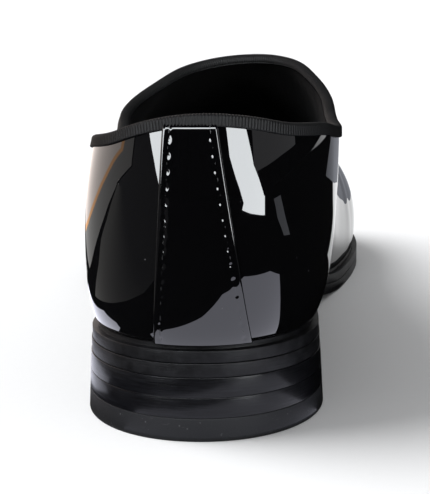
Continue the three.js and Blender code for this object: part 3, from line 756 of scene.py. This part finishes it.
def heel_only(along):
    return 1 - smooth_step((along - breast) / 0.1)


def flare(height):
    return -1.3 * (1 - height / seat_height)


def plate_rings(columns, steps):
    """Rings of a plate that follows the sole's bend, from (inset, height) at each step."""
    along, _, plan = columns
    return [np.column_stack([inset_loop(along, plan, inset), height(along)])
            for inset, height in steps]


def filled(rings):
    """Points and faces over a plate's rings, its top and underside filled from side to side."""
    points, faces = skin(rings)
    count = len(rings[0])
    for start in (0, (len(rings) - 1) * count):
        for i in range(count // 2):
            quad = [start + i, start + i + 1, start + (count - i - 1) % count,
                    start + (count - i) % count]
            kept = list(dict.fromkeys(quad))
            if len(kept) > 2:
                faces.append(tuple(kept))
    return points, faces


def closed_plate(name, columns, steps, paint):
    points, faces = filled(plate_rings(columns, steps))
    return outward(mesh_object(name, points, faces, [paint], smooth=False))


def rounded(low, high, side, radius, clock=5):
    """Steps of an edge between two heights, its corners rounded."""
    steps = []
    for i in range(clock):
        t = math.pi / 2 * i / (clock - 1)
        steps.append((lambda a, t=t: side(a) + radius * (1 - math.sin(t)),
                      lambda a, t=t: low(a) + radius * (1 - math.cos(t))))
    for i in range(clock):
        t = math.pi / 2 * i / (clock - 1)
        steps.append((lambda a, t=t: side(a) + radius * (1 - math.cos(t)),
                      lambda a, t=t: high(a) - radius * (1 - math.sin(t))))
    return steps


def shade_by_angle(piece, degrees=35):
    """Smooth shading that keeps the piece's real corners."""
    data = piece.data
    data.polygons.foreach_set("use_smooth", [True] * len(data.polygons))
    shape = bmesh.new()
    shape.from_mesh(data)
    for e in shape.edges:
        if len(e.link_faces) == 2 and e.calc_face_angle(0) > math.radians(degrees):
            e.smooth = False
    shape.to_mesh(data)
    shape.free()


sole_columns = plan_loop(30, 90, 36)
skim = 0.13  # keeps the rounder edge inside the flat-faced one


def out_side(along):
    return flare(heel_stack + outsole) * heel_only(along) + skim


def mid_side(along):
    return skim + 0 * along


out_piece = closed_plate(
    "outsole_edge", sole_columns,
    rounded(underside, lambda a: underside(a) + outsole + 0.1, out_side, 0.2), sole_material)
low_of_mid = lambda a: underside(a) + outsole + clearance - 0.12
ledge = lambda a: sole_top(a) - feather
mid_steps = rounded(low_of_mid, ledge, mid_side, 0.2)
mid_steps += [(lambda a: mid_side(a) + 1.7, lambda a: ledge(a) + 0.12),
              (lambda a: mid_side(a) + 1.75, lambda a: ledge(a) + 0.4),
              (lambda a: mid_side(a) + 1.75, sole_top)]
mid_piece = closed_plate("midsole_edge", sole_columns, mid_steps, sole_material)
for piece, node in ((out_piece, "outsole"), (mid_piece, "midsole")):
    shade_by_angle(piece)
    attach(piece, "root")
    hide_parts(node)


# Heel
# Two lifts of black leather board, waxed to a gloss, over a harder rubber top lift that is a
# little greyer and more matt, with light scuffs. The front is hollowed.
heel_material, place, feed = material("heel_stack", (0.006, 0.006, 0.0075), 0.3,
                                      Coat_Weight=0.2, Coat_Roughness=0.16,
                                      Specular_IOR_Level=0.07)
fibres = place.stretched(1, 1, 22).noise(140, 4.0, 0.6)
wax = place.noise(75, 3.0)
feed(
    Base_Color=fibres.ramp(0.35, 0.75).colour(
        (0.0025, 0.0025, 0.0035, 1), (0.009, 0.0095, 0.012, 1)),
    Roughness=0.24 + wax * 0.16,
    Normal=fibres.bump(0.00018, 0.35),
)
rubber_material, place, feed = material("heel_rubber", (0.012, 0.0125, 0.0145), 0.6,
                                        Specular_IOR_Level=0.12)
speckle = place.noise(2400, 3.0, 0.7)
scuffs = place.stretched(1, 1, 3).noise(330, 5.0, 0.7).ramp(0.60, 0.75)
dusty = 1.0 - place.cells(500).ramp(0.06, 0.14)
feed(
    Base_Color=(scuffs * 0.5 + dusty * place.noise(800, 0.0).ramp(0.55, 0.65)).colour(
        (0.011, 0.0115, 0.0135, 1), (0.07, 0.07, 0.076, 1)),
    Roughness=0.5 + speckle * 0.2 + scuffs * 0.1,
    Normal=(speckle + scuffs * 0.5).bump(0.00012, 0.5),
)


def heel_outline():
    """The heel's outline: round the back, then across the hollowed front."""
    _, _, plan = plan_loop(48, 120, 12)
    outer, inner = np.split(plan, [len(plan) // 2])
    inner = inner[::-1]
    hollow, share_at_corner = 3.0, 0.75
    corner = heel_front - hollow * share_at_corner
    xs = np.linspace(np.interp(corner, outer[:, 1], outer[:, 0]),
                     np.interp(corner, inner[:, 1], inner[:, 0]), 24)
    across = np.column_stack([xs, heel_front - hollow * (1 - (xs / heel_width) ** 2)])
    return np.vstack([outer[outer[:, 1] < corner - 0.4], across,
                      inner[inner[:, 1] < corner - 0.4][::-1][:-1]])


def lift(name, node, low, high, paint, slot, radius):
    """A lift between two heights, its corners rounded and its sides flared to the floor."""
    plan = heel_outline()
    along = plan[:, 1] / sole_length
    step = np.roll(plan, -1, 0) - np.roll(plan, 1, 0)
    step /= np.linalg.norm(step, axis=1)[:, None]
    turns = [math.pi / 2 * i / 4 for i in range(5)]
    edges = [(radius * (1 - math.sin(t)), low, radius * (1 - math.cos(t))) for t in turns]
    edges += [(radius * (1 - math.cos(t)), high, -radius * (1 - math.sin(t))) for t in turns]
    rings = []
    for inset, end, rise in edges:
        z = (end(along) if callable(end) else np.full(len(along), end)) + rise
        move = inset + flare(z) + skim
        moved = plan + np.stack([step[:, 1], -step[:, 0]], 1) * move[:, None]
        rings.append(np.column_stack([moved, z]))
    points, faces = skin(rings, caps=True)
    piece = outward(mesh_object(name, points, faces, [paint], smooth=False))
    shade_by_angle(piece, 50)
    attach(piece, "root")
    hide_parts(node)


lift("heel_rubber_lift", "top_lift", 0.0, 6.1, rubber_material, "heel_rubber", 0.35)
lift("heel_lower_lift", "lower_lift", 6.15, 11.42, heel_material, "heel_stack", 0.12)
lift("heel_upper_lift", "upper_lift", 11.48, lambda a: underside(a) - 0.03, heel_material,
     "heel_stack", 0.12)


# Insole
# A leather-covered insole inside the upper, slightly dished under the heel, with a soft edge.
insole_columns = plan_loop(24, 80, 30)
insole_low = lambda a: sole_top(a) + 2.1
insole_side = lambda a: edge_inset(a) + wall + 0.8
insole_steps = rounded(insole_low, lambda a: insole_low(a) + 3.0, insole_side, 0.9)
rings = plate_rings(insole_columns, insole_steps)
for share in (0.9, 0.75, 0.55, 0.3, 0.1):
    along = insole_columns[0]
    inner = rings[len(insole_steps) - 1].copy()
    centre = np.column_stack([toe_swing * smooth_step((along - 0.55) / 0.45),
                              np.clip(along, 0.03, 0.97) * sole_length])
    inner[:, :2] = centre + (inner[:, :2] - centre) * share
    dish = 0.8 * (1 - share) * (1 - smooth_step((along - 0.1) / 0.2))
    inner[:, 2] = insole_low(inner[:, 1] / sole_length) + 3.0 - dish
    rings.append(inner)
points, faces = filled(rings)
insole = outward(mesh_object("insole_leather", points, faces, [lining]))
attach(insole, "root")
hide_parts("insole")


# Tassels
# Two leather tassels lie on the vamp below the throat, joined by thongs to a knot of two flat loops
# under a wound band. Each tassel is a wound head over two layers of cut strips.
tassel_material, place, feed = material(
    "tassel_leather", (0.007, 0.007, 0.0075), 0.36,
    Coat_Weight=0.25, Coat_Roughness=0.16, Specular_IOR_Level=0.4)
grain = place.cells(1400) + place.noise(2200, 2.0) * 0.4
worn = place.noise(300, 3.0)
feed(
    Base_Color=worn.ramp(0.35, 0.75).colour((0.005, 0.005, 0.0055, 1), (0.016, 0.016, 0.017, 1)),
    Roughness=0.3 + worn * 0.2,
    Normal=grain.bump(0.00008, 0.4),
)


def vamp_point(along, turn):
    """The vamp's outer side at a share of the length, and round from the ridge to one side."""
    side = 1.0 if turn >= 0 else -1.0
    share = np.array([along])
    half = (medial_plan if side > 0 else lateral_plan)(share) * end_rounding(share)
    x = toe_swing * smooth_step((share - 0.55) / 0.45) + side * (half - edge_inset(share))
    plan = np.column_stack([x, share * sole_length])
    return section(share, np.array([side]), plan, False, math.pi / 2 - abs(turn))[0]


def vamp_frame(along, turn, heading, lift, reach=0.0):
    """Origin, across, pointing and outward directions of a piece that lies on the vamp."""
    ahead = vamp_point(along + 0.01, turn) - vamp_point(along - 0.01, turn)
    across = vamp_point(along, turn + 0.01) - vamp_point(along, turn - 0.01)
    out_of = np.cross(across, ahead)
    out_of /= np.linalg.norm(out_of)
    pointing = np.array([math.sin(heading), math.cos(heading), 0.0])
    pointing -= out_of * (pointing @ out_of)
    pointing /= np.linalg.norm(pointing)
    origin = vamp_point(along, turn) + out_of * lift - pointing * reach
    return origin, np.array([np.cross(pointing, out_of), pointing, out_of])


def tube(path, wide, high, up, around=10, looped=False):
    """A rounded strap along a path, `wide` across and `high` along the up direction."""
    path = np.asarray(path, float)
    ahead = np.roll(path, -1, 0) - np.roll(path, 1, 0) if looped else np.gradient(path, axis=0)
    ahead /= np.linalg.norm(ahead, axis=1)[:, None]
    sideways = np.cross(ahead, up)
    sideways /= np.linalg.norm(sideways, axis=1)[:, None]
    over = np.cross(sideways, ahead)
    clock = np.linspace(0, 2 * np.pi, around, endpoint=False)
    c, d = np.cos(clock), np.sin(clock)
    c, d = np.sign(c) * np.abs(c) ** 0.7, np.sign(d) * np.abs(d) ** 0.7
    rings = [p + np.outer(c * wide / 2, s) + np.outer(d * high / 2, o)
             for p, s, o in zip(path, sideways, over)]
    return skin(rings + rings[:1]) if looped else skin(rings, caps=True)


def gathered(parts):
    """Several meshes' points and faces as one."""
    points, faces, count = [], [], 0
    for some_points, some_faces in parts:
        points.append(some_points)
        faces += [tuple(i + count for i in face) for face in some_faces]
        count += len(some_points)
    return np.concatenate(points), faces


def tassel_parts(dice):
    """A tassel along +Y from its head, in its own axes: its head's coils and crown, and strips."""
    flatness, radius, head, length = 1.6, 2.75, 7.0, 31.0
    clock = np.linspace(0, 2 * np.pi, 40, endpoint=False)
    rings = []
    for y in np.linspace(0, 1, 97) * (head * 1.15):
        coil = 0.75 * abs(math.sin(math.pi * (y - 1.0) / 1.45)) ** 0.6 if 1.0 < y < 6.8 else 0.0
        crown = min(1.0, 0.30 + 0.75 * math.sqrt(y / 1.2)) if y < 1.2 else 1.0
        r = (radius + coil) * crown
        pleats = 1 + (0.05 * np.cos(clock * 9) if y < 1.2 else 0 * clock)
        rings.append(np.column_stack([np.sin(clock) * r * flatness * pleats, np.full(40, y),
                                      np.cos(clock) * r * pleats]))
    parts = [skin(rings, caps=True)]
    for layer, (strips, inset, shorter) in enumerate(((15, 0.0, 0.0), (12, 0.95, 1.0))):
        for i in range(strips):
            turn = 2 * math.pi * (i + 0.5 * layer + 0.16 * dice.uniform(-1, 1)) / strips
            root_r = radius - 0.35 - inset + (0.22 if i % 2 else -0.22)
            sway = dice.uniform(-0.55, 0.55)
            twist = dice.uniform(-0.4, 0.4)
            tip = length - shorter - dice.uniform(0, 2.4)
            spread = 0.035 + 0.02 * dice.random()
            wide = 1.28
            rings = []
            for t in np.linspace(0, 1, 12):
                y = head * 0.86 + (tip - head * 0.86) * t
                r = root_r + spread * (y - head * 0.86) * (0.6 + 0.4 * t)
                lean = twist * t + turn
                centre = np.array([math.sin(turn) * r * flatness + sway * t * t, y,
                                   math.cos(turn) * r - 1.4 * t * t])
                face = math.atan2(math.sin(lean) / flatness, math.cos(lean))
                out_of = np.array([math.sin(face), 0, math.cos(face)])
                across = np.array([math.cos(face), 0, -math.sin(face)])
                bow = (0.14 * math.sin(math.pi * t) + 0.12 * math.sin(2 * math.pi * t + 9 * twist))
                ring = []
                for a, b in ((-1, -1), (-0.5, -1.0), (0.5, -1.0), (1, -1), (1, 1), (0.5, 1.15),
                             (-0.5, 1.15), (-1, 1)):
                    ring.append(centre + across * a * wide / 2 + out_of * (b * 0.27 + bow))
                rings.append(ring)
            parts.append(skin(rings, caps=True))
    return parts


def in_place(parts, frame_of_piece):
    origin, axes = frame_of_piece
    points, faces = gathered(parts)
    return origin + points @ axes, faces


spots_on_vamp = {"tassel_lateral": (0.636, -0.3, -0.28), "tassel_medial": (0.636, 0.3, 0.28)}
knot_origin, knot_axes = vamp_frame(0.553, 0, 0, 4.6 / 2 + clearance)
thongs = []
for node, (along, turn, heading) in spots_on_vamp.items():
    lies_in = vamp_frame(along, turn, heading, 8.0 / 2 + 1.1, 16.0)
    parts = tassel_parts(random.Random(len(node)))
    points, faces = in_place(parts, lies_in)
    tassel = outward(mesh_object(node + "_leather", points, faces, [tassel_material], smooth=False))
    shade_by_angle(tassel, 40)
    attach(tassel, "root")
    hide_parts(node)
    origin, axes = lies_in
    before = origin - axes[1] * 3.5
    end = origin + axes[1] * 0.4
    route = []
    for t in np.linspace(0, 1, 14):
        first, second = knot_origin * (1 - t) + before * t, before * (1 - t) + end * t
        route.append(first * (1 - t) + second * t)
    thongs.append(tube(route, 2.3, 1.3, axes[2]))

knot_parts = []
for side in (-1, 1):
    clock = np.linspace(0, 2 * np.pi, 36, endpoint=False)
    loop = np.column_stack([side * (4.3 + 3.4 * np.cos(clock)), 3.3 * np.sin(clock),
                            0.25 * np.sin(2 * clock)])
    knot_parts.append(tube(loop, 1.5, 2.1, np.array([0.0, 0.0, 1.0]), looped=True))
for across in (-1.85, -0.62, 0.62, 1.85):
    clock = np.linspace(0, 2 * np.pi, 32, endpoint=False)
    coil = np.column_stack([across + 0.15 * np.sin(clock), 3.5 * np.cos(clock),
                            1.55 * np.sin(clock)])
    knot_parts.append(tube(coil, 1.25, 1.1, np.array([1.0, 0.0, 0.0]), looped=True))
core = []
for y in np.linspace(-3.3, 3.3, 13):
    r = math.sqrt(max(1 - (y / 3.4) ** 2, 0.02))
    clock = np.linspace(0, 2 * np.pi, 16, endpoint=False)
    core.append(np.column_stack([2.5 * r * np.cos(clock), np.full(16, y), 1.4 * r * np.sin(clock)]))
knot_parts.append(skin(core, caps=True))
points, faces = in_place(knot_parts, (knot_origin, knot_axes))
points, faces = gathered([(points, faces)] + thongs)
knot = outward(mesh_object("tassel_knot_leather", points, faces, [tassel_material], smooth=False))
shade_by_angle(knot, 50)
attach(knot, "root")
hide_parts("tassel_knot")


# The studio
# A pale floor that runs out of sight, an even white surround, a wide silk at the left for the soft
# shadow, and dark, grey and white sheets round the shoe that only its lacquer mirrors. These sheets
# are painted reflections: the black ones paint dark reflections, the glowing ones paint the
# reflections of lit walls, floor, silks and a post, and none of them casts a shadow.
floor_data = bpy.data.meshes.new("floor")
floor_data.from_pydata([(-20, -20, 0), (20, -20, 0), (20, 20, 0), (-20, 20, 0)], [], [(0, 1, 2, 3)])
floor = bpy.data.objects.new("floor", floor_data)
bpy.context.scene.collection.objects.link(floor)
paper, place, feed = material("pale_paper", (0.86, 0.865, 0.875), 0.9, Specular_IOR_Level=0.0)
tooth = place.noise(400, 3.0)
feed(Base_Color=tooth.colour((0.85, 0.855, 0.865, 1), (0.87, 0.875, 0.885, 1)),
     Normal=tooth.bump(0.0002, 0.1))
floor_data.materials.append(paper)


def card(name, corners, paint):
    """A flat sheet that only mirrors see, a painted reflection that casts no shadow."""
    data = bpy.data.meshes.new(name)
    data.from_pydata(corners, [], [tuple(range(len(corners)))])
    data.materials.append(paint)
    made = bpy.data.objects.new(name, data)
    bpy.context.scene.collection.objects.link(made)
    made.visible_camera = False
    made.visible_diffuse = False
    made.visible_shadow = False
    made.visible_transmission = False
    return made


def toward(azimuth, height, distance=1.4):
    """A point seen from the heel at an azimuth from straight behind it, and an elevation."""
    a, e = math.radians(azimuth), math.radians(height)
    return (distance * math.sin(a) * math.cos(e), -0.148 - distance * math.cos(a) * math.cos(e),
            max(0.055 + distance * math.sin(e), 0.001))


def floor_card(name, height, plan, paint):
    """A sheet just over the floor."""
    card(name, [(x, y, height) for x, y in plan], paint)


def wall_card(name, distance, bearings, paint):
    """An upright sheet with its corners at azimuths and elevations from the heel."""
    card(name, [toward(azimuth, height, distance) for azimuth, height in bearings], paint)


def glow(name, colour, strength):
    """A sheet that gives off an even light."""
    made = bpy.data.materials.new(name)
    made.use_nodes = True
    tree = made.node_tree
    tree.nodes.clear()
    light = tree.nodes.new("ShaderNodeEmission")
    light.inputs["Color"].default_value = (*colour, 1)
    light.inputs["Strength"].default_value = strength
    out = tree.nodes.new("ShaderNodeOutputMaterial")
    tree.links.new(light.outputs[0], out.inputs["Surface"])
    return made


# Black sheets paint dark reflections into the lacquer where the room lies in shade; they cast no
# shadow.
black_reflection_sheet, place, feed = material("black_reflection_sheet", (0.004, 0.004, 0.004), 0.9,
                                    Specular_IOR_Level=0.0)
feed(Roughness=place.noise(30, 2.0) * 0.1 + 0.85)
floor_card("flag_floor", 0.0006, [(-2.2, -2.4), (2.2, -2.4), (2.2, 0.04),
                                  (-2.2, 0.04)], black_reflection_sheet)
floor_card("flag_floor_right", 0.0006, [(0.12, 0.04), (2.2, 0.04), (2.2, 0.9), (0.34, 0.9),
                                        (0.13, 0.2)], black_reflection_sheet)
floor_card("flag_floor_left", 0.0006, [(-0.09, 0.04), (-2.2, 0.04), (-2.2, 0.9), (-0.30, 0.9),
                                       (-0.10, 0.2)], black_reflection_sheet)
# Glowing sheets just over the floor paint the reflection of a lit floor into the lacquer.
floor_glow = glow("lit_floor", (0.86, 0.87, 1.0), 2.2)
floor_card("lit_floor", 0.001, [(-0.030, -0.150), (-0.027, -0.166), (0.006, -0.196),
                                (0.048, -0.243), (0.139, -0.272), (0.199, -0.196),
                                (0.180, -0.156), (0.064, -0.130), (0.02, -0.12)], floor_glow)
turns = [(a, min(a + 10, 162)) for a in range(-148, 162, 10)]
for i, (a, b) in enumerate(turns):
    card(f"flag_{i}", [toward(a, -2, 2.2), toward(b, -2, 2.2), toward(b, 44, 2.2),
                       toward(a, 44, 2.2)], black_reflection_sheet)
    if -110 < a < 100:
        card(f"flag_top_{i}", [toward(a, 44, 2.2), toward(b, 44, 2.2), toward(b, 75, 2.2),
                               toward(a, 75, 2.2)], black_reflection_sheet)
# Glowing silks paint highlights into the lacquer only; the sun further down does the lighting.
white_silk = glow("white_silk", (0.94, 0.975, 1.0), 16.5)
wall_card("silk_right", 1.4, [(27, 27), (45, 25), (51, 14), (56, 5), (66, -2.2), (45, -2.2),
                              (38, 3), (32, 9)], white_silk)
floor_card("silk_right_foot", 0.0015, [(0.99, -1.138), (1.28, -0.70), (0.56, -0.38),
                                       (0.59, -0.60), (0.66, -0.84)], white_silk)
# Dimmer glowing sheets paint grey streaks and a grey floor into the lacquer.
streak_glow = glow("streak_glow", (0.62, 0.64, 0.70), 1.1)
floor_card("streak_right", 0.0013, [(0.905, -0.362), (0.498, -0.224), (0.335, -0.151),
                                    (0.326, -0.114), (0.512, -0.158),
                                    (0.905, -0.25)], streak_glow)
floor_card("lit_floor_left", 0.001, [(-0.031, 0.02), (-0.034, -0.09), (-0.040, -0.112),
                                     (-0.050, -0.122), (-0.060, -0.118), (-0.078, -0.090),
                                     (-0.074, 0.02)], floor_glow)
grey_floor = glow("grey_floor", (0.50, 0.52, 0.58), 0.55)
floor_card("grey_floor", 0.0008, [(0.075, 0.30), (0.34, 0.30), (0.55, 1.6),
                                  (0.10, 1.6)], grey_floor)
wall_card("silk_left", 1.4, [(-68, 22), (-28, 26), (-40, 1)], white_silk)
wall_card("silk_over", 1.4, [(-33, 28), (28, 28), (35, 50), (-40, 50)], white_silk)
# Warm, brown and grey glowing sheets paint reflections of a warm wall, a brown post and grey walls
# into the lacquer.
warm_wall_reflection = glow("warm_wall_reflection", (0.46, 0.41, 0.385), 4.0)
brown_post_reflection = glow("brown_post_reflection", (0.75, 0.42, 0.22), 2.6)
dim_grey = glow("dim_grey", (0.50, 0.49, 0.48), 1.25)
dimmer_grey = glow("dimmer_grey", (0.49, 0.49, 0.51), 0.21)
# A glowing floor sheet whose painted reflection gets darker towards the camera's side.
fading_grey, place, feed = material("fading_grey", (0.0, 0.0, 0.0), 1.0, Specular_IOR_Level=0.0,
                                    Emission_Strength=1.0)
toward_toe = place.node("ShaderNodeSeparateXYZ", {"Vector": place}, 1)
feed(Emission_Color=toward_toe.ramp(-0.24, -0.02).colour((0.10, 0.10, 0.105, 1),
                                                         (0.30, 0.295, 0.285, 1)))
wall_card("warm_wall_reflection", 2.0, [(-172, -4), (-115, -4), (-95, 5), (-84, 34), (-172, 34)], warm_wall_reflection)
card("brown_post_reflection", [(-1.76, 0.56, 0.0015), toward(-91, 5, 1.9), toward(-80, 34, 1.9),
                    toward(-83, 34, 1.9), toward(-95, 5, 1.9), (-1.76, 0.693, 0.0015)], brown_post_reflection)
floor_card("warm_floor", 0.001, [(-0.13, 0.165), (-0.216, 0.178), (-0.516, 0.275), (-1.466, 0.60),
                                 (-2.1, 0.80), (-2.1, 2.4), (-0.20, 2.4),
                                 (-0.12, 0.8)], warm_wall_reflection)
floor_card("brown_floor", 0.0012, [(-0.13, 0.140), (-0.216, 0.152), (-0.516, 0.228),
                                   (-1.466, 0.49), (-2.0, 0.64), (-2.0, 0.78), (-1.466, 0.60),
                                   (-0.516, 0.275), (-0.216, 0.178), (-0.13, 0.165)], brown_post_reflection)
floor_card("dim_floor_far", 0.001, [(-0.13, 0.02), (-0.60, 0.035), (-2.1, 0.05), (-2.1, 0.64),
                                    (-1.466, 0.49), (-0.516, 0.228), (-0.216, 0.152),
                                    (-0.13, 0.14)], dim_grey)
floor_card("dim_floor_near", 0.001, [(-0.095, -0.05), (-0.30, -0.005), (-2.1, 0.02), (-2.1, -2.1),
                                     (-1.2, -2.1), (-0.30, -0.62), (-0.16, -0.34),
                                     (-0.10, -0.20)], fading_grey)
wall_card("dim_wall_left", 2.12, [(-120, -4), (-104, -4), (-98, 34), (-112, 34)], dim_grey)
wall_card("dim_wall", 2.12, [(-104, -4), (-96, -4), (-77, 3), (-73, 34), (-98, 34)], dim_grey)
wall_card("dimmer_wall", 2.1, [(-94.5, -4), (-38, -4), (-38, 34), (-71.5, 34),
                               (-75.5, 3)], dimmer_grey)
grey_wall_reflection = glow("grey_wall_reflection", (0.5, 0.5, 0.52), 0.9)
wall_card("grey_wall_reflection", 1.9, [(56, 3), (100, 3), (100, 30), (56, 30)], grey_wall_reflection)

world = bpy.data.worlds.new("surround")
bpy.context.scene.world = world
world.use_nodes = True
world.node_tree.nodes["Background"].inputs["Color"].default_value = (1.0, 1.0, 1.0, 1)
world.node_tree.nodes["Background"].inputs["Strength"].default_value = 0.5


# A wide silk to the left, so far away that it lights the whole floor alike.
key = bpy.data.lights.new("key_silk", "SUN")
key.energy = 3.4
key.angle = math.radians(50)
key_light = bpy.data.objects.new("key_silk", key)
key_light.location = (-1.8, 0.2, 1.8)
key_light.rotation_mode = "QUATERNION"
key_light.rotation_quaternion = (-key_light.location).to_track_quat("-Z", "Y")
key_light.visible_camera = False
key_light.visible_glossy = False
bpy.context.scene.collection.objects.link(key_light)


# Camera
# It stands where the photograph was taken from and turns to the one shoe, with a longer lens.
scene = bpy.context.scene
scene.view_settings.view_transform = "Standard"
camera_data = bpy.data.cameras.new("camera")
camera_data.sensor_fit = "HORIZONTAL"
camera_data.sensor_width = 36
fitted_lens, closer = 92.17, 1.3
camera_data.lens = fitted_lens * closer
camera = bpy.data.objects.new("camera", camera_data)
scene.collection.objects.link(camera)
camera.location = (0.031515, -0.49955, 0.11874)
aim = Vector((0.0087, -0.148, 0.0508)) - camera.location
camera.rotation_mode = "QUATERNION"
camera.rotation_quaternion = (aim.to_track_quat("-Z", "Y")
                              @ Euler((0, 0, math.radians(-0.57))).to_quaternion())
scene.camera = camera
